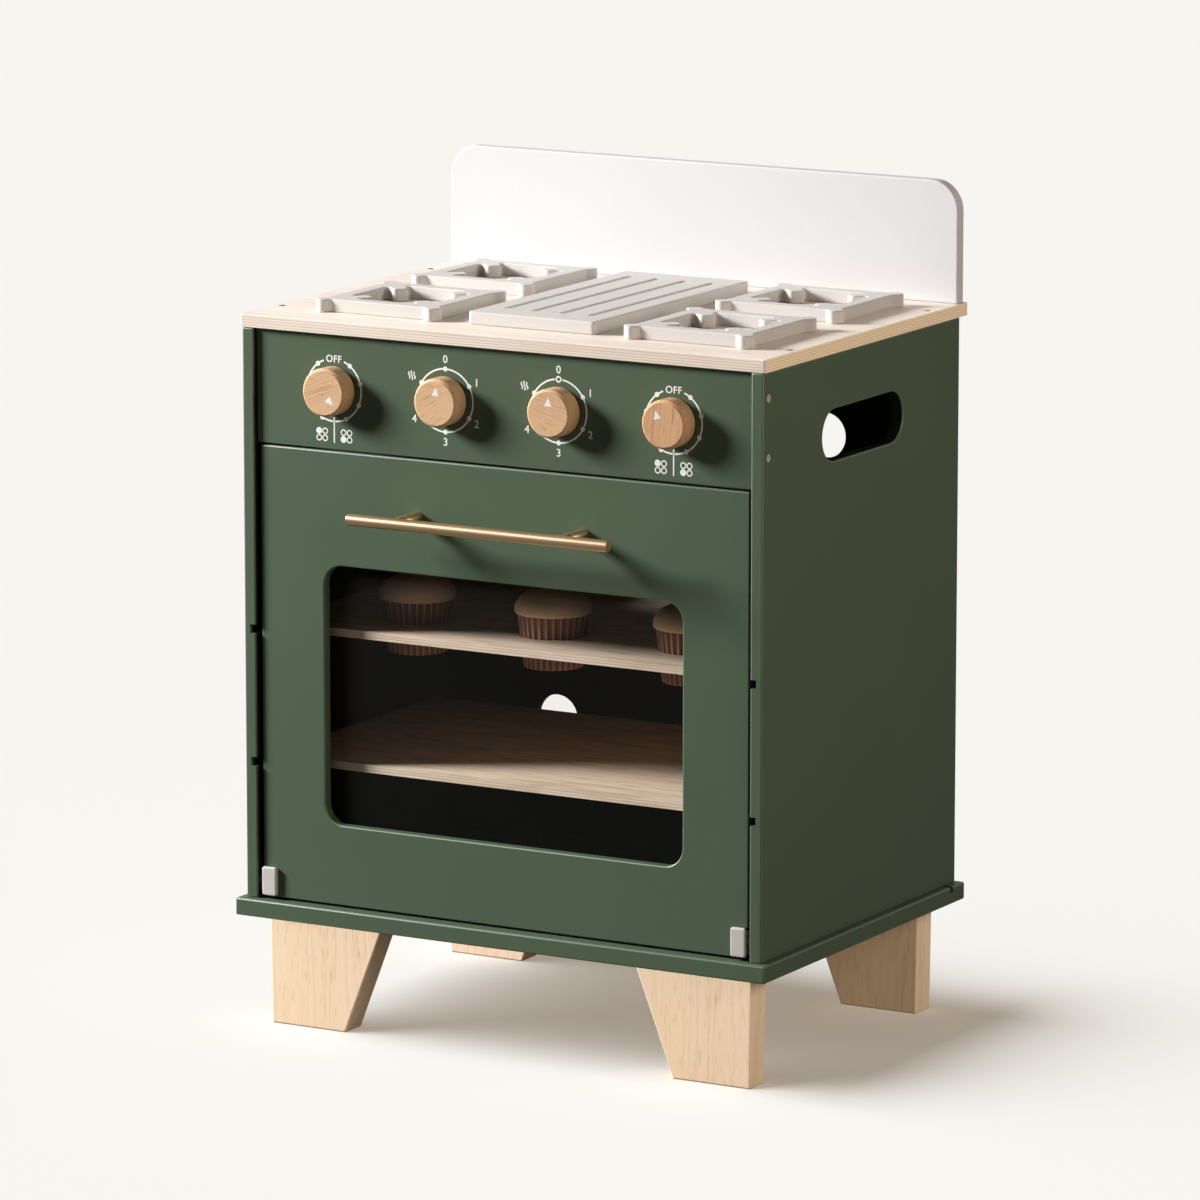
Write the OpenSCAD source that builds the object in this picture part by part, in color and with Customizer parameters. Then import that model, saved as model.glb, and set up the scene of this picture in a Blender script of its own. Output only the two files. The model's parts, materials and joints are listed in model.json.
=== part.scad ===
// Toy oven for a play kitchen: a painted cabinet on four tapered wooden legs, with a drop-down door,
// four turning knobs, a shelf of muffins and a pretend hob with a backsplash on top.
// Axes: x to the right, y to the back, z up. The origin lies on the floor under the middle of the toy.
// Inside the modules y = 0 is the plane of the side panels' front edges; placed() moves it to the origin.

/* [Cabinet] */
// Width over the two side panels
cabinet_w = 400; // [385:5:420]
// Depth of the side panels
cabinet_d = 280; // [274:2:300]
// Height of the side panels, from the base plate to the countertop
body_h = 394; // [385:2:420]
// Thickness of the side panels, the door and the control panel
panel_t = 9; // [8.5:0.5:11]
// Thickness of the base plate
base_t = 12; // [11:0.5:15]
// How far the base plate stands out at each side
base_over_side = 5.5; // [3:0.5:8]
// How far the base plate stands out at the front
base_over_front = 6; // [4:0.5:9]
// How far the base plate stands out at the back
base_over_back = 4; // [3:0.5:8]
// Thickness of the countertop
top_t = 9; // [8:0.5:12]
// How far the countertop stands out at each side
top_over_side = 1.5; // [0.5:0.5:4]
// How far the countertop stands out at the back
top_over_back = 9; // [8:0.5:12]
// Radius of the countertop's corners
top_corner_r = 1.5; // [1.5:0.5:8]
// Radius of the rounded edges on the countertop
top_edge_r = 0.5; // [0.3:0.1:1]
// Radius of the rounded edges on the boards
arris_r = 1.2; // [0.5:0.1:1.5]
// Radius of the rounded edges on the base plate
base_arris_r = 1.25; // [1:0.25:3]
// Thickness of the back panel
back_t = 4; // [3:0.5:5]
// Distance from the back panel to the side panels' rear edges
back_inset = 13.5; // [11:0.5:16]

/* [Legs] */
// Height of the legs
leg_h = 77; // [70:1:90]
// Width of a leg at the top
leg_top_w = 89; // [84:1:95]
// Width of a leg at the floor
leg_foot_w = 59; // [50:1:66]
// Thickness of a leg
leg_t = 21; // [19:1:25]
// Distance from a side panel's outer face to the leg
leg_inset_side = 12.5; // [9:0.5:15]
// Distance from the side panels' front and rear edges to the legs
leg_inset_y = 10; // [6:1:11]
// How far a leg's outer edge leans in at the floor
leg_lean = 1; // [0:0.5:3]

/* [Door and control panel] */
// How far the door and the control panel lie behind the side panels' front edges
front_recess = 3.5; // [1.5:0.5:4]
// Height of the control panel
control_h = 78.5; // [74:0.5:88]
// Gap between the control panel and the door
seam_gap = 1.25; // [1:0.25:3]
// Gap between the door and a side panel
door_side_gap = 2.5; // [1.5:0.25:3]
// Gap between the door and the base plate
door_floor_gap = 1.5; // [1.5:0.25:3]
// Width of the window
window_w = 277; // [240:1:284]
// Height of the window
window_h = 179; // [150:0.5:190]
// Height of the window's lower edge above the door's lower edge
window_up = 55.5; // [48:0.5:60]
// Radius of the window's corners
window_r = 14; // [10:0.5:20]
// Thickness of the window pane
pane_t = 2; // [1.5:0.5:3]
// How far the pane reaches past the window on each side
pane_lap = 8; // [7:0.5:9]

/* [Handle] */
// Diameter of the handle bar
handle_d = 8; // [7.5:0.5:12]
// Length of the handle bar
handle_l = 200; // [180:2:230]
// Distance between the two handle posts
handle_spacing = 128; // [96:2:160]
// Diameter of a handle post
post_d = 7.5; // [6.5:0.5:7.5]
// Distance from the door's face to the middle of the handle bar
handle_out = 31; // [26:1:36]
// Distance from the door's upper edge to the middle of the handle bar
handle_drop = 39; // [34:1:46]

/* [Hinges] */
// Width of a hinge clip
clip_w = 11.5; // [10:0.5:14]
// Height of a hinge clip
clip_h = 20; // [19:0.5:24]
// How far a hinge clip stands out in front of the door
clip_proud = 3.5; // [2.5:0.25:3.5]
// Thickness of the hinge clip round the door's edge and behind it
clip_t = 1.5; // [1:0.25:2]
// Diameter of the hinge pin
pin_d = 6; // [4:0.5:6]
// Height of the hinge pin above the door's lower edge
pin_up = 12; // [11.5:0.5:13]

/* [Knobs] */
// Diameter of a knob
knob_d = 33; // [30:0.5:38]
// Thickness of a knob
knob_t = 14; // [13.5:0.5:20]
// Gap between a knob and the control panel
knob_gap = 0.5; // [0.3:0.1:1]
// Width of the bevel round a knob's face
knob_bevel = 1.6; // [1:0.2:3]
// Distance from a side panel to the axis of the knob next to it
knob_side = 60.5; // [52:0.5:70]
// Distance of the knobs' middle from the cabinet's middle, to the right
knob_shift = 1; // [0:0.5:3]
// Height of the knobs' axes above the control panel's lower edge
knob_up = 40.5; // [37:0.5:42]
// Diameter of a knob's axle
axle_d = 8; // [6:0.5:10]

/* [Shelves] */
// Thickness of the shelves
shelf_t = 5.5; // [4:0.5:7]
// Height of the lower shelf above the base plate
lower_shelf_up = 92.5; // [80:0.5:96]
// Distance from one shelf to the next
shelf_pitch = 92; // [80:0.5:100]
// Depth of the shelf grooves in the side panels
groove_depth = 4.5; // [3:0.5:5]
// Gap above and below a shelf in its groove
groove_slack = 0.25; // [0.1:0.05:0.3]
// Distance from the side panels' front edges to the shelves
shelf_setback = 18; // [17:0.5:24]
// Gap between the shelves and the back panel
shelf_rear_gap = 24.5; // [16:0.5:34]

/* [Muffins] */
// Diameter of a muffin's top
muffin_d = 53; // [52:0.5:62]
// Diameter of the muffin cup at its rim
cup_top_d = 49.5; // [46:0.5:51]
// Diameter of the muffin cup at its foot
cup_foot_d = 40.5; // [36:0.5:44]
// Height of the muffin cup
cup_h = 36.5; // [32:0.5:42]
// How deep the muffin cup reaches below the shelf's top
cup_drop = 21.5; // [14:0.5:22]
// Height of the muffin's top
dome_h = 17; // [12:0.5:20]
// Distance from a side panel to the axis of the muffin next to it
muffin_side = 84; // [76:1:92]
// Distance from the side panels' front edges to the muffins' axes
muffin_back = 73.5; // [66:0.5:80]

/* [Hob] */
// Distance from the countertop's front edge to the grates and the griddle
hob_front = 35; // [30:1:40]
// Distance from the grates and the griddle to the backsplash
hob_rear = 27; // [20:1:32]
// Distance of the outer grates from the side panels' outer faces, on average
hob_side = 36; // [32:1:42]
// Distance of the hob's middle from the cabinet's middle, to the right
hob_shift = 5; // [0:1:8]
// Gap between a front grate and a back grate
grate_gap = 36; // [20:1:44]
// Gap between the griddle and the grates beside it
griddle_gap = 26.25; // [20:0.25:32]
// Width of a grate's ring
ring_w = 10.5; // [8:0.5:12]
// Thickness of the grates
grate_t = 9; // [8:0.5:12]
// Width of a grate's diagonal bars
diagonal_w = 11; // [6:0.5:13]
// How far the diagonal bars stand out past the ring's corners
stub_out = 3.5; // [2:0.5:4]
// Length of the diagonal bars inside the ring
prong_l = 19.5; // [15:0.5:22]
// Thickness of the griddle
griddle_t = 9; // [8:0.5:12]
// Radius of the griddle's corners
griddle_r = 3; // [3:0.5:10]
// Number of slots in the griddle
slot_count = 4; // [3:1:5]
// Width of a griddle slot
slot_w = 5; // [2:0.5:6]
// Distance from the griddle's front and rear edges to its slots
slot_end = 22; // [18:1:40]
// Distance from the griddle's side edges to the middle of its outer slots
slot_side = 16.5; // [12:0.5:22]
// Depth of a griddle slot
slot_depth = 5; // [3:0.5:6]

/* [Backsplash] */
// Distance from the side panels' outer faces to the backsplash's ends
splash_side = 0; // [0:0.5:10]
// Height of the backsplash above the countertop
splash_h = 84; // [70:1:100]
// Thickness of the backsplash
splash_t = 9; // [8:0.5:11]
// Radius of the backsplash's upper corners
splash_r = 21; // [10:1:30]
// Distance from the countertop's rear edge to the backsplash
splash_inset = 4; // [3:0.5:6]

/* [Handholds and vents] */
// Length of the handhold in a side panel
hold_l = 115; // [100:1:124]
// Height of the handhold
hold_h = 35; // [30:1:44]
// Distance from the side panel's upper edge to the middle of the handhold
hold_down = 55; // [48:1:60]
// Diameter of a vent hole in the back panel
vent_d = 32; // [24:1:36]
// Distance from a side panel to the middle of the vent holes next to it
vent_side = 85; // [70:1:100]
// Distance between the lower and the upper vent holes
vent_pitch_z = 219; // [200:1:230]
// Height of the lower vent holes above the base plate
vent_up = 88; // [80:1:96]

/* [Screws] */
// Diameter of the screws
screw_d = 3; // [2.5:0.5:3]
// Diameter of the screw heads
head_d = 5.6; // [5:0.2:6]
// Height of the screw heads
head_h = 2; // [1.5:0.25:2.5]

/* [Hidden] */

$fn = 96;

// Clearances: a pin in its bore, and two pieces that move past each other
run_gap = 0.05;
seat_gap = 0.3;
// A cutter reaches this far past the face it opens
over = 1;

// Planes of the cabinet
side_x = cabinet_w / 2;
inner_x = side_x - panel_t;
edge_x = side_x - panel_t / 2;
floor_z = leg_h + base_t;
under_top_z = floor_z + body_h;
deck_z = under_top_z + top_t;
rear_y = cabinet_d + top_over_back;
back_y = cabinet_d - back_inset - back_t;
back_groove = 4;
groove_fit = 0.1;

// Control panel and door
panel_back_y = front_recess + panel_t;
control_z = under_top_z - control_h;
door_x = inner_x - door_side_gap;
door_z = floor_z + door_floor_gap;
door_top_z = control_z - seam_gap;
window_z = door_z + window_up;
handle_z = door_top_z - handle_drop;
handle_y = front_recess - handle_out;
y_mid = (handle_y - handle_d / 2 + rear_y) / 2;

// Hinges: the clip hangs on the door's lower corner and its pin turns in a bush in the side panel
clip_x = door_x - 0.5;
clip_z = door_z + 1;
clip_back_t = 2;
pin_y = front_recess + 4;
pin_z = door_z + pin_up;
bush_depth = panel_t - 2;
bush_wall = 1.5;
flange_t = 0.8;
flange_w = 1;

// Catch
catch_w = 28;
catch_d = 14;
catch_low = 11;
catch_high = 20;
magnet_d = 8;
magnet_t = 4;
magnet_drop = 5.5;
strike_w = 24;
strike_h = 8;
strike_t = 1;

// Knobs
knob_z = control_z + knob_up;
knob_pitch = 2 * (inner_x - knob_side) / 3;
knob_back_edge = 0.6;
axle_in = 10;
ring_t = 1.4;
ring_d = axle_d + 5;
ring_groove = 0.6;
axle_tail = 2;

// Shelves and muffins
lower_shelf_z = floor_z + lower_shelf_up;
upper_shelf_z = lower_shelf_z + shelf_pitch;
shelf_x = inner_x + groove_depth - groove_slack;
shelf_back_y = back_y - shelf_rear_gap;
muffin_pitch = inner_x - muffin_side;
cup_z = upper_shelf_z + shelf_t - cup_drop;
dome_side = 2.4;
dome_rim = 1.5;
cup_hole_r = cup_foot_d / 2 + (cup_top_d - cup_foot_d) / 2 * cup_drop / cup_h + seat_gap;

// Hob and backsplash
splash_w = cabinet_w - 2 * splash_side;
splash_y = rear_y - splash_inset - splash_t;
griddle_l = splash_y - hob_front - hob_rear;
grate_w = (griddle_l - grate_gap) / 2;
hob_y = hob_front + griddle_l / 2;
grate_pitch_x = 2 * (side_x - hob_side) - grate_w;
grate_pitch_y = grate_w + grate_gap;
griddle_w = grate_pitch_x - grate_w - 2 * griddle_gap;
slot_l = griddle_l - 2 * slot_end;
slot_pitch = (griddle_w - 2 * slot_side) / (slot_count - 1);

// Screws
screw_sink = 0.2;
socket_d = 2.6;
socket_depth = 1.2;
tip_gap = 0.3;
panel_screw_front = 45;
panel_screw_rear = 39;
top_screw_l = 28;
base_screw_l = 30;
leg_screw_l = 36;
leg_screw_in = 20;
leg_screw_back = 7;
control_screw_l = 26;
control_screw_low = 21.5;
control_screw_high = 17.5;
splash_bite = 18;
splash_screw_l = top_t + splash_bite;
splash_screw_in = 50;
hob_bite = 6.5;
hob_screw_l = top_t + hob_bite;
griddle_screw_in = 9;
catch_bite = 6;
catch_screw_l = catch_d + catch_bite;
catch_screw_x = 9;
catch_screw_in = 8;
window_bite = 4.5;
window_screw_l = pane_t + window_bite;
hinge_bite = 6;
hinge_screw_l = clip_back_t + hinge_bite;
hinge_screw_in = 4.5;
handle_bite = 12;
handle_screw_l = panel_t + handle_bite;

// Shapes used by several pieces

// Small ball that rounds a board's edges; its poles and sides lie exactly at the radius
module ball(r) {
    rotate_extrude($fn = 16)
        polygon([for (t = [-90 : 22.5 : 90]) [r * cos(t), r * sin(t)]]);
}

// Board between two opposite corners, with rounded edges
module board(from, to, r) {
    hull()
        for (x = [from.x + r, to.x - r], y = [from.y + r, to.y - r], z = [from.z + r, to.z - r])
            translate([x, y, z])
                ball(r);
}

// Plain block between two opposite corners
module block(from, to) {
    translate(from)
        cube(to - from);
}

// Disc with rounded edges
module puck(r, h, edge) {
    rotate_extrude($fn = 32)
        polygon(concat(
            [[0, 0]],
            [for (t = [-90 : 30 : 0]) [r - edge + edge * cos(t), edge + edge * sin(t)]],
            [for (t = [0 : 30 : 90]) [r - edge + edge * cos(t), h - edge + edge * sin(t)]],
            [[0, h]]
        ));
}

// Lying slab with round corners and rounded edges
module slab(from, to, corner_r, edge) {
    hull()
        for (x = [from.x + corner_r, to.x - corner_r], y = [from.y + corner_r, to.y - corner_r])
            translate([x, y, from.z])
                puck(corner_r, to.z - from.z, edge);
}

// Opening with round corners, centred, cut along z
module window_cutter(w, h, r, depth) {
    linear_extrude(depth) {
        square([w - 2 * r, h], center = true);
        square([w, h - 2 * r], center = true);
        for (x = [-1, 1], y = [-1, 1])
            translate([x * (w / 2 - r), y * (h / 2 - r)])
                circle(r);
    }
}

// Opening with half-round ends, centred, cut along z
module slot_cutter(length, width, depth) {
    linear_extrude(depth) {
        square([length - width, width], center = true);
        for (x = [-1, 1])
            translate([x * (length - width) / 2, 0])
                circle(width / 2);
    }
}

// Screw with a socket in its head; it points down from the face at z = 0
module screw(length) {
    difference() {
        union() {
            translate([0, 0, -screw_sink - head_h])
                cylinder(d = head_d, h = head_h, $fn = 32);
            translate([0, 0, -length])
                cylinder(d = screw_d, h = length - screw_sink - head_h / 2, $fn = 32);
        }
        translate([0, 0, -screw_sink - socket_depth])
            cylinder(d = socket_d, h = socket_depth + over, $fn = 6);
    }
}

// Stepped bore that takes the screw
module screw_bore(length) {
    translate([0, 0, -screw_sink - head_h])
        cylinder(d = head_d + 2 * run_gap, h = screw_sink + head_h + over, $fn = 32);
    translate([0, 0, -length - tip_gap])
        cylinder(d = screw_d + 2 * run_gap, h = length + tip_gap, $fn = 32);
}

// Screw with its head on top of the face at z = 0
module proud_screw(length) {
    translate([0, 0, screw_sink + head_h])
        screw(length + screw_sink + head_h);
}

module proud_screw_bore(length) {
    translate([0, 0, -length - tip_gap])
        cylinder(d = screw_d + 2 * run_gap, h = length + tip_gap + over, $fn = 32);
}

// Places of the screws

module at_countertop_screws() {
    for (x = [-edge_x, edge_x], y = [panel_screw_front, cabinet_d - panel_screw_rear])
        translate([x, y, deck_z])
            children();
}

module at_base_screws() {
    for (x = [-edge_x, edge_x], y = [panel_screw_front, cabinet_d - panel_screw_rear])
        translate([x, y, leg_h])
            rotate([180, 0, 0])
                children();
}

module at_leg_screws() {
    outer = side_x - leg_inset_side;
    for (side = [-1, 1], x = [outer - leg_screw_in, outer - leg_top_w + leg_screw_in])
        for (y = [leg_inset_y + leg_t / 2, back_y - leg_screw_back])
            translate([side * x, y, floor_z])
                children();
}

module at_control_screws() {
    for (side = [-1, 1], up = [control_screw_low, control_h - control_screw_high])
        translate([side * side_x, front_recess + panel_t / 2, control_z + up])
            rotate([0, side * 90, 0])
                children();
}

module at_splash_screws() {
    for (i = [-1, 0, 1])
        translate([i * (splash_w / 2 - splash_screw_in), splash_y + splash_t / 2, under_top_z])
            rotate([180, 0, 0])
                children();
}

module at_grate_screws() {
    for (i = [-1, 1], j = [-1, 1], k = [-1, 1])
        translate([
            hob_shift + i * grate_pitch_x / 2 + k * (grate_w - ring_w) / 2,
            hob_y + j * grate_pitch_y / 2,
            under_top_z
        ])
            rotate([180, 0, 0])
                children();
}

module at_griddle_screws() {
    for (j = [-1, 1])
        translate([hob_shift, hob_y + j * (griddle_l / 2 - griddle_screw_in), under_top_z])
            rotate([180, 0, 0])
                children();
}

module at_catch_screws() {
    for (x = [-catch_screw_x, catch_screw_x])
        translate([x, panel_back_y + catch_d, control_z + catch_high - catch_screw_in])
            rotate([-90, 0, 0])
                children();
}

module at_window_screws() {
    for (x = [-1, 0, 1], z = [0, 1])
        translate([
            x * (window_w + pane_lap) / 2,
            panel_back_y,
            window_z - pane_lap / 2 + z * (window_h + pane_lap)
        ])
            rotate([-90, 0, 0])
                children();
}

module at_handle_screws() {
    for (x = [-1, 1])
        translate([x * handle_spacing / 2, panel_back_y, handle_z])
            rotate([-90, 0, 0])
                children();
}

module at_hinge_screws() {
    for (side = [-1, 1], up = [hinge_screw_in, clip_h - hinge_screw_in])
        translate([side * (clip_x - clip_w / 2), panel_back_y + clip_back_t, clip_z + up])
            rotate([-90, 0, 0])
                children();
}

module at_vents() {
    for (x = [-1, 1], z = [0, 1])
        translate([x * (inner_x - vent_side), back_y - over, floor_z + vent_up + z * vent_pitch_z])
            rotate([-90, 0, 0])
                children();
}

// Cabinet

module base_plate() {
    color("DarkSlateGray")
        difference() {
            board(
                [-side_x - base_over_side, -base_over_front, leg_h],
                [side_x + base_over_side, cabinet_d + base_over_back, floor_z],
                base_arris_r
            );
            // groove for the back panel, open at both ends
            block(
                [-side_x - base_over_side - over, back_y - groove_fit, floor_z - back_groove],
                [side_x + base_over_side + over, back_y + back_t + groove_fit, floor_z + over]
            );
            at_base_screws()
                screw_bore(base_screw_l);
            at_leg_screws()
                screw_bore(leg_screw_l);
        }
}

module side_panel(side) {
    color("DarkSlateGray")
        difference() {
            board(
                [min(side * inner_x, side * side_x), 0, floor_z],
                [max(side * inner_x, side * side_x), cabinet_d, under_top_z],
                arris_r
            );
            // handhold
            translate([side * (inner_x + panel_t / 2), cabinet_d / 2, under_top_z - hold_down])
                rotate([0, 90, 0])
                    rotate(90)
                        translate([0, 0, -panel_t])
                            slot_cutter(hold_l, hold_h, 2 * panel_t);
            // grooves for the shelves, open at the front
            for (z = [lower_shelf_z, upper_shelf_z])
                block(
                    [side * inner_x - (side > 0 ? over : groove_depth), -over, z - groove_slack],
                    [
                        side * inner_x + (side > 0 ? groove_depth : over),
                        shelf_back_y + groove_slack,
                        z + shelf_t + groove_slack
                    ]
                );
            // groove for the back panel
            block(
                [side * inner_x - (side > 0 ? over : groove_depth), back_y - groove_fit, floor_z - over],
                [side * inner_x + (side > 0 ? groove_depth : over), back_y + back_t + groove_fit, under_top_z + over]
            );
            // seat of the hinge bush
            translate([side * inner_x, pin_y, pin_z])
                rotate([0, side * 90, 0])
                    translate([0, 0, -over])
                        cylinder(d = pin_d + 2 * (bush_wall + run_gap), h = bush_depth + over, $fn = 48);
            at_base_screws()
                screw_bore(base_screw_l);
            at_countertop_screws()
                screw_bore(top_screw_l);
            at_control_screws()
                screw_bore(control_screw_l);
        }
}

module left_side_panel() {
    side_panel(-1);
}

module right_side_panel() {
    side_panel(1);
}

module back_panel() {
    tongue_x = inner_x + groove_depth - groove_fit;
    color("DimGray")
        difference() {
            block([-tongue_x, back_y, floor_z - back_groove + groove_fit], [tongue_x, back_y + back_t, under_top_z]);
            at_vents()
                cylinder(d = vent_d, h = back_t + 2 * over);
        }
}

module control_panel() {
    color("DarkSlateGray")
        difference() {
            board([-inner_x, front_recess, control_z], [inner_x, panel_back_y, under_top_z], arris_r);
            for (i = [1 : 4])
                translate([knob_shift + (i - 2.5) * knob_pitch, front_recess - over, knob_z])
                    rotate([-90, 0, 0])
                        cylinder(d = axle_d + 2 * run_gap, h = panel_t + 2 * over, $fn = 48);
            at_control_screws()
                screw_bore(control_screw_l);
            at_catch_screws()
                screw_bore(catch_screw_l);
        }
}

module countertop() {
    color("BurlyWood")
        difference() {
            slab(
                [-side_x - top_over_side, 0, under_top_z],
                [side_x + top_over_side, rear_y, deck_z],
                top_corner_r,
                top_edge_r
            );
            at_countertop_screws()
                screw_bore(top_screw_l);
            at_splash_screws()
                screw_bore(splash_screw_l);
            at_grate_screws()
                screw_bore(hob_screw_l);
            at_griddle_screws()
                screw_bore(hob_screw_l);
        }
}

module backsplash() {
    color("White")
        difference() {
            hull()
                for (side = [-1, 1]) {
                    translate([side * (splash_w / 2 - splash_r), splash_y + splash_t, deck_z + splash_h - splash_r])
                        rotate([90, 0, 0])
                            puck(splash_r, splash_t, arris_r);
                    for (y = [splash_y + arris_r, splash_y + splash_t - arris_r])
                        translate([side * (splash_w / 2 - arris_r), y, deck_z + arris_r])
                            ball(arris_r);
                }
            at_splash_screws()
                screw_bore(splash_screw_l);
        }
}

module lower_shelf() {
    color("BurlyWood")
        block([-shelf_x, shelf_setback, lower_shelf_z], [shelf_x, shelf_back_y, lower_shelf_z + shelf_t]);
}

module upper_shelf() {
    color("BurlyWood")
        difference() {
            block([-shelf_x, shelf_setback, upper_shelf_z], [shelf_x, shelf_back_y, upper_shelf_z + shelf_t]);
            for (i = [-1, 0, 1])
                translate([i * muffin_pitch, muffin_back, upper_shelf_z - over])
                    cylinder(r = cup_hole_r, h = shelf_t + 2 * over);
        }
}

module leg(side, y) {
    outer = side_x - leg_inset_side;
    color("Wheat")
        difference() {
            hull()
                for (dy = [arris_r, leg_t - arris_r]) {
                    for (x = [outer - arris_r, outer - leg_top_w + arris_r])
                        translate([side * x, y + dy, leg_h - arris_r])
                            ball(arris_r);
                    for (x = [outer - leg_lean - arris_r, outer - leg_lean - leg_foot_w + arris_r])
                        translate([side * x, y + dy, arris_r])
                            ball(arris_r);
                }
            at_leg_screws()
                screw_bore(leg_screw_l);
        }
}

module front_left_leg() {
    leg(-1, leg_inset_y);
}

module front_right_leg() {
    leg(1, leg_inset_y);
}

module back_left_leg() {
    leg(-1, cabinet_d - leg_inset_y - leg_t);
}

module back_right_leg() {
    leg(1, cabinet_d - leg_inset_y - leg_t);
}

// Hob

// Square ring with four diagonal bars through its corners
module grate_plan() {
    outer_corner = grate_w / sqrt(2);
    inner_corner = (grate_w - 2 * ring_w) / sqrt(2);
    difference() {
        square(grate_w, center = true);
        square(grate_w - 2 * ring_w, center = true);
    }
    for (a = [45 : 90 : 315])
        rotate(a)
            translate([inner_corner - prong_l, -diagonal_w / 2])
                square([outer_corner + stub_out - inner_corner + prong_l, diagonal_w]);
}

module grate(i, j) {
    inside_r = 2;
    color("Gainsboro")
        difference() {
            translate([hob_shift + i * grate_pitch_x / 2, hob_y + j * grate_pitch_y / 2, deck_z])
                linear_extrude(grate_t)
                    offset(r = arris_r, $fn = 16)
                        offset(delta = -arris_r)
                            offset(r = -inside_r, $fn = 24)
                                offset(delta = inside_r)
                                    grate_plan();
            at_grate_screws()
                screw_bore(hob_screw_l);
        }
}

module front_left_grate() {
    grate(-1, -1);
}

module front_right_grate() {
    grate(1, -1);
}

module back_left_grate() {
    grate(-1, 1);
}

module back_right_grate() {
    grate(1, 1);
}

module griddle() {
    color("Gainsboro")
        difference() {
            slab(
                [hob_shift - griddle_w / 2, hob_y - griddle_l / 2, deck_z],
                [hob_shift + griddle_w / 2, hob_y + griddle_l / 2, deck_z + griddle_t],
                griddle_r,
                arris_r
            );
            for (i = [0 : slot_count - 1])
                translate([
                    hob_shift + (i - (slot_count - 1) / 2) * slot_pitch,
                    hob_y,
                    deck_z + griddle_t - slot_depth
                ])
                    rotate(90)
                        slot_cutter(slot_l, slot_w, slot_depth + over);
            at_griddle_screws()
                screw_bore(hob_screw_l);
        }
}

// Screws and fittings of the cabinet

module countertop_screws() {
    color("DarkGray")
        at_countertop_screws()
            screw(top_screw_l);
}

module control_panel_screws() {
    color("DarkGray")
        at_control_screws()
            screw(control_screw_l);
}

module base_screws() {
    color("DarkGray")
        at_base_screws()
            screw(base_screw_l);
}

module leg_screws() {
    color("DarkGray")
        at_leg_screws()
            screw(leg_screw_l);
}

module backsplash_screws() {
    color("DarkGray")
        at_splash_screws()
            screw(splash_screw_l);
}

module hob_screws() {
    color("DarkGray") {
        at_grate_screws()
            screw(hob_screw_l);
        at_griddle_screws()
            screw(hob_screw_l);
    }
}

module hinge_bushes() {
    color("LightGray")
        for (side = [-1, 1])
            translate([side * inner_x, pin_y, pin_z])
                rotate([0, side * 90, 0])
                    difference() {
                        union() {
                            cylinder(d = pin_d + 2 * bush_wall, h = bush_depth, $fn = 48);
                            translate([0, 0, -flange_t])
                                cylinder(d = pin_d + 2 * (bush_wall + flange_w), h = flange_t, $fn = 48);
                        }
                        translate([0, 0, -over])
                            cylinder(d = pin_d + 2 * run_gap, h = bush_depth + over - 1, $fn = 48);
                    }
}

module magnet_catch() {
    color("BurlyWood")
        difference() {
            block(
                [-catch_w / 2, panel_back_y, door_top_z - catch_low],
                [catch_w / 2, panel_back_y + catch_d, control_z + catch_high]
            );
            // the part that stops the door stays clear of its back
            block(
                [-catch_w / 2 - over, panel_back_y - over, door_top_z - catch_low - over],
                [catch_w / 2 + over, panel_back_y + seat_gap, control_z]
            );
            translate([0, panel_back_y - over, door_top_z - magnet_drop])
                rotate([-90, 0, 0])
                    cylinder(d = magnet_d + 2 * run_gap, h = over + seat_gap + magnet_t, $fn = 48);
            at_catch_screws()
                screw_bore(catch_screw_l);
        }
}

module catch_magnet() {
    color("Silver")
        translate([0, panel_back_y + seat_gap, door_top_z - magnet_drop])
            rotate([-90, 0, 0])
                cylinder(d = magnet_d, h = magnet_t, $fn = 48);
}

module catch_screws() {
    color("DarkGray")
        at_catch_screws()
            screw(catch_screw_l);
}

// Door

module door_panel() {
    color("DarkSlateGray")
        difference() {
            board([-door_x, front_recess, door_z], [door_x, panel_back_y, door_top_z], arris_r);
            // window, and the rebate for its pane at the back
            translate([0, panel_back_y + over, window_z + window_h / 2])
                rotate([90, 0, 0]) {
                    window_cutter(window_w, window_h, window_r, panel_t + 2 * over);
                    window_cutter(
                        window_w + 2 * (pane_lap + groove_fit),
                        window_h + 2 * (pane_lap + groove_fit),
                        window_r,
                        pane_t + over
                    );
                }
            // notches for the hinge clips at the lower corners
            for (side = [-1, 1])
                translate([side * (clip_x - clip_t), front_recess - over, door_z - over])
                    mirror([side > 0 ? 0 : 1, 0, 0])
                        cube([clip_t + 0.5 + over, panel_t + 2 * over, clip_z - door_z + clip_h + over + seat_gap]);
            // seat of the strike plate
            block(
                [-strike_w / 2 - groove_fit, panel_back_y - strike_t, door_top_z - magnet_drop - strike_h / 2 - groove_fit],
                [strike_w / 2 + groove_fit, panel_back_y + over, door_top_z - magnet_drop + strike_h / 2 + groove_fit]
            );
            at_handle_screws()
                screw_bore(handle_screw_l);
            at_window_screws()
                proud_screw_bore(window_screw_l);
            at_hinge_screws()
                proud_screw_bore(hinge_screw_l);
        }
}

module door_window() {
    color("LightCyan", 0.4)
        difference() {
            translate([0, panel_back_y, window_z + window_h / 2])
                rotate([90, 0, 0])
                    window_cutter(window_w + 2 * pane_lap, window_h + 2 * pane_lap, window_r, pane_t);
            at_window_screws()
                proud_screw_bore(window_screw_l);
        }
}

module window_screws() {
    color("DarkGray")
        at_window_screws()
            proud_screw(window_screw_l);
}

module handle_bar() {
    color("Peru")
        translate([-handle_l / 2, handle_y, handle_z])
            rotate([0, 90, 0])
                cylinder(d = handle_d, h = handle_l);
}

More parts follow.
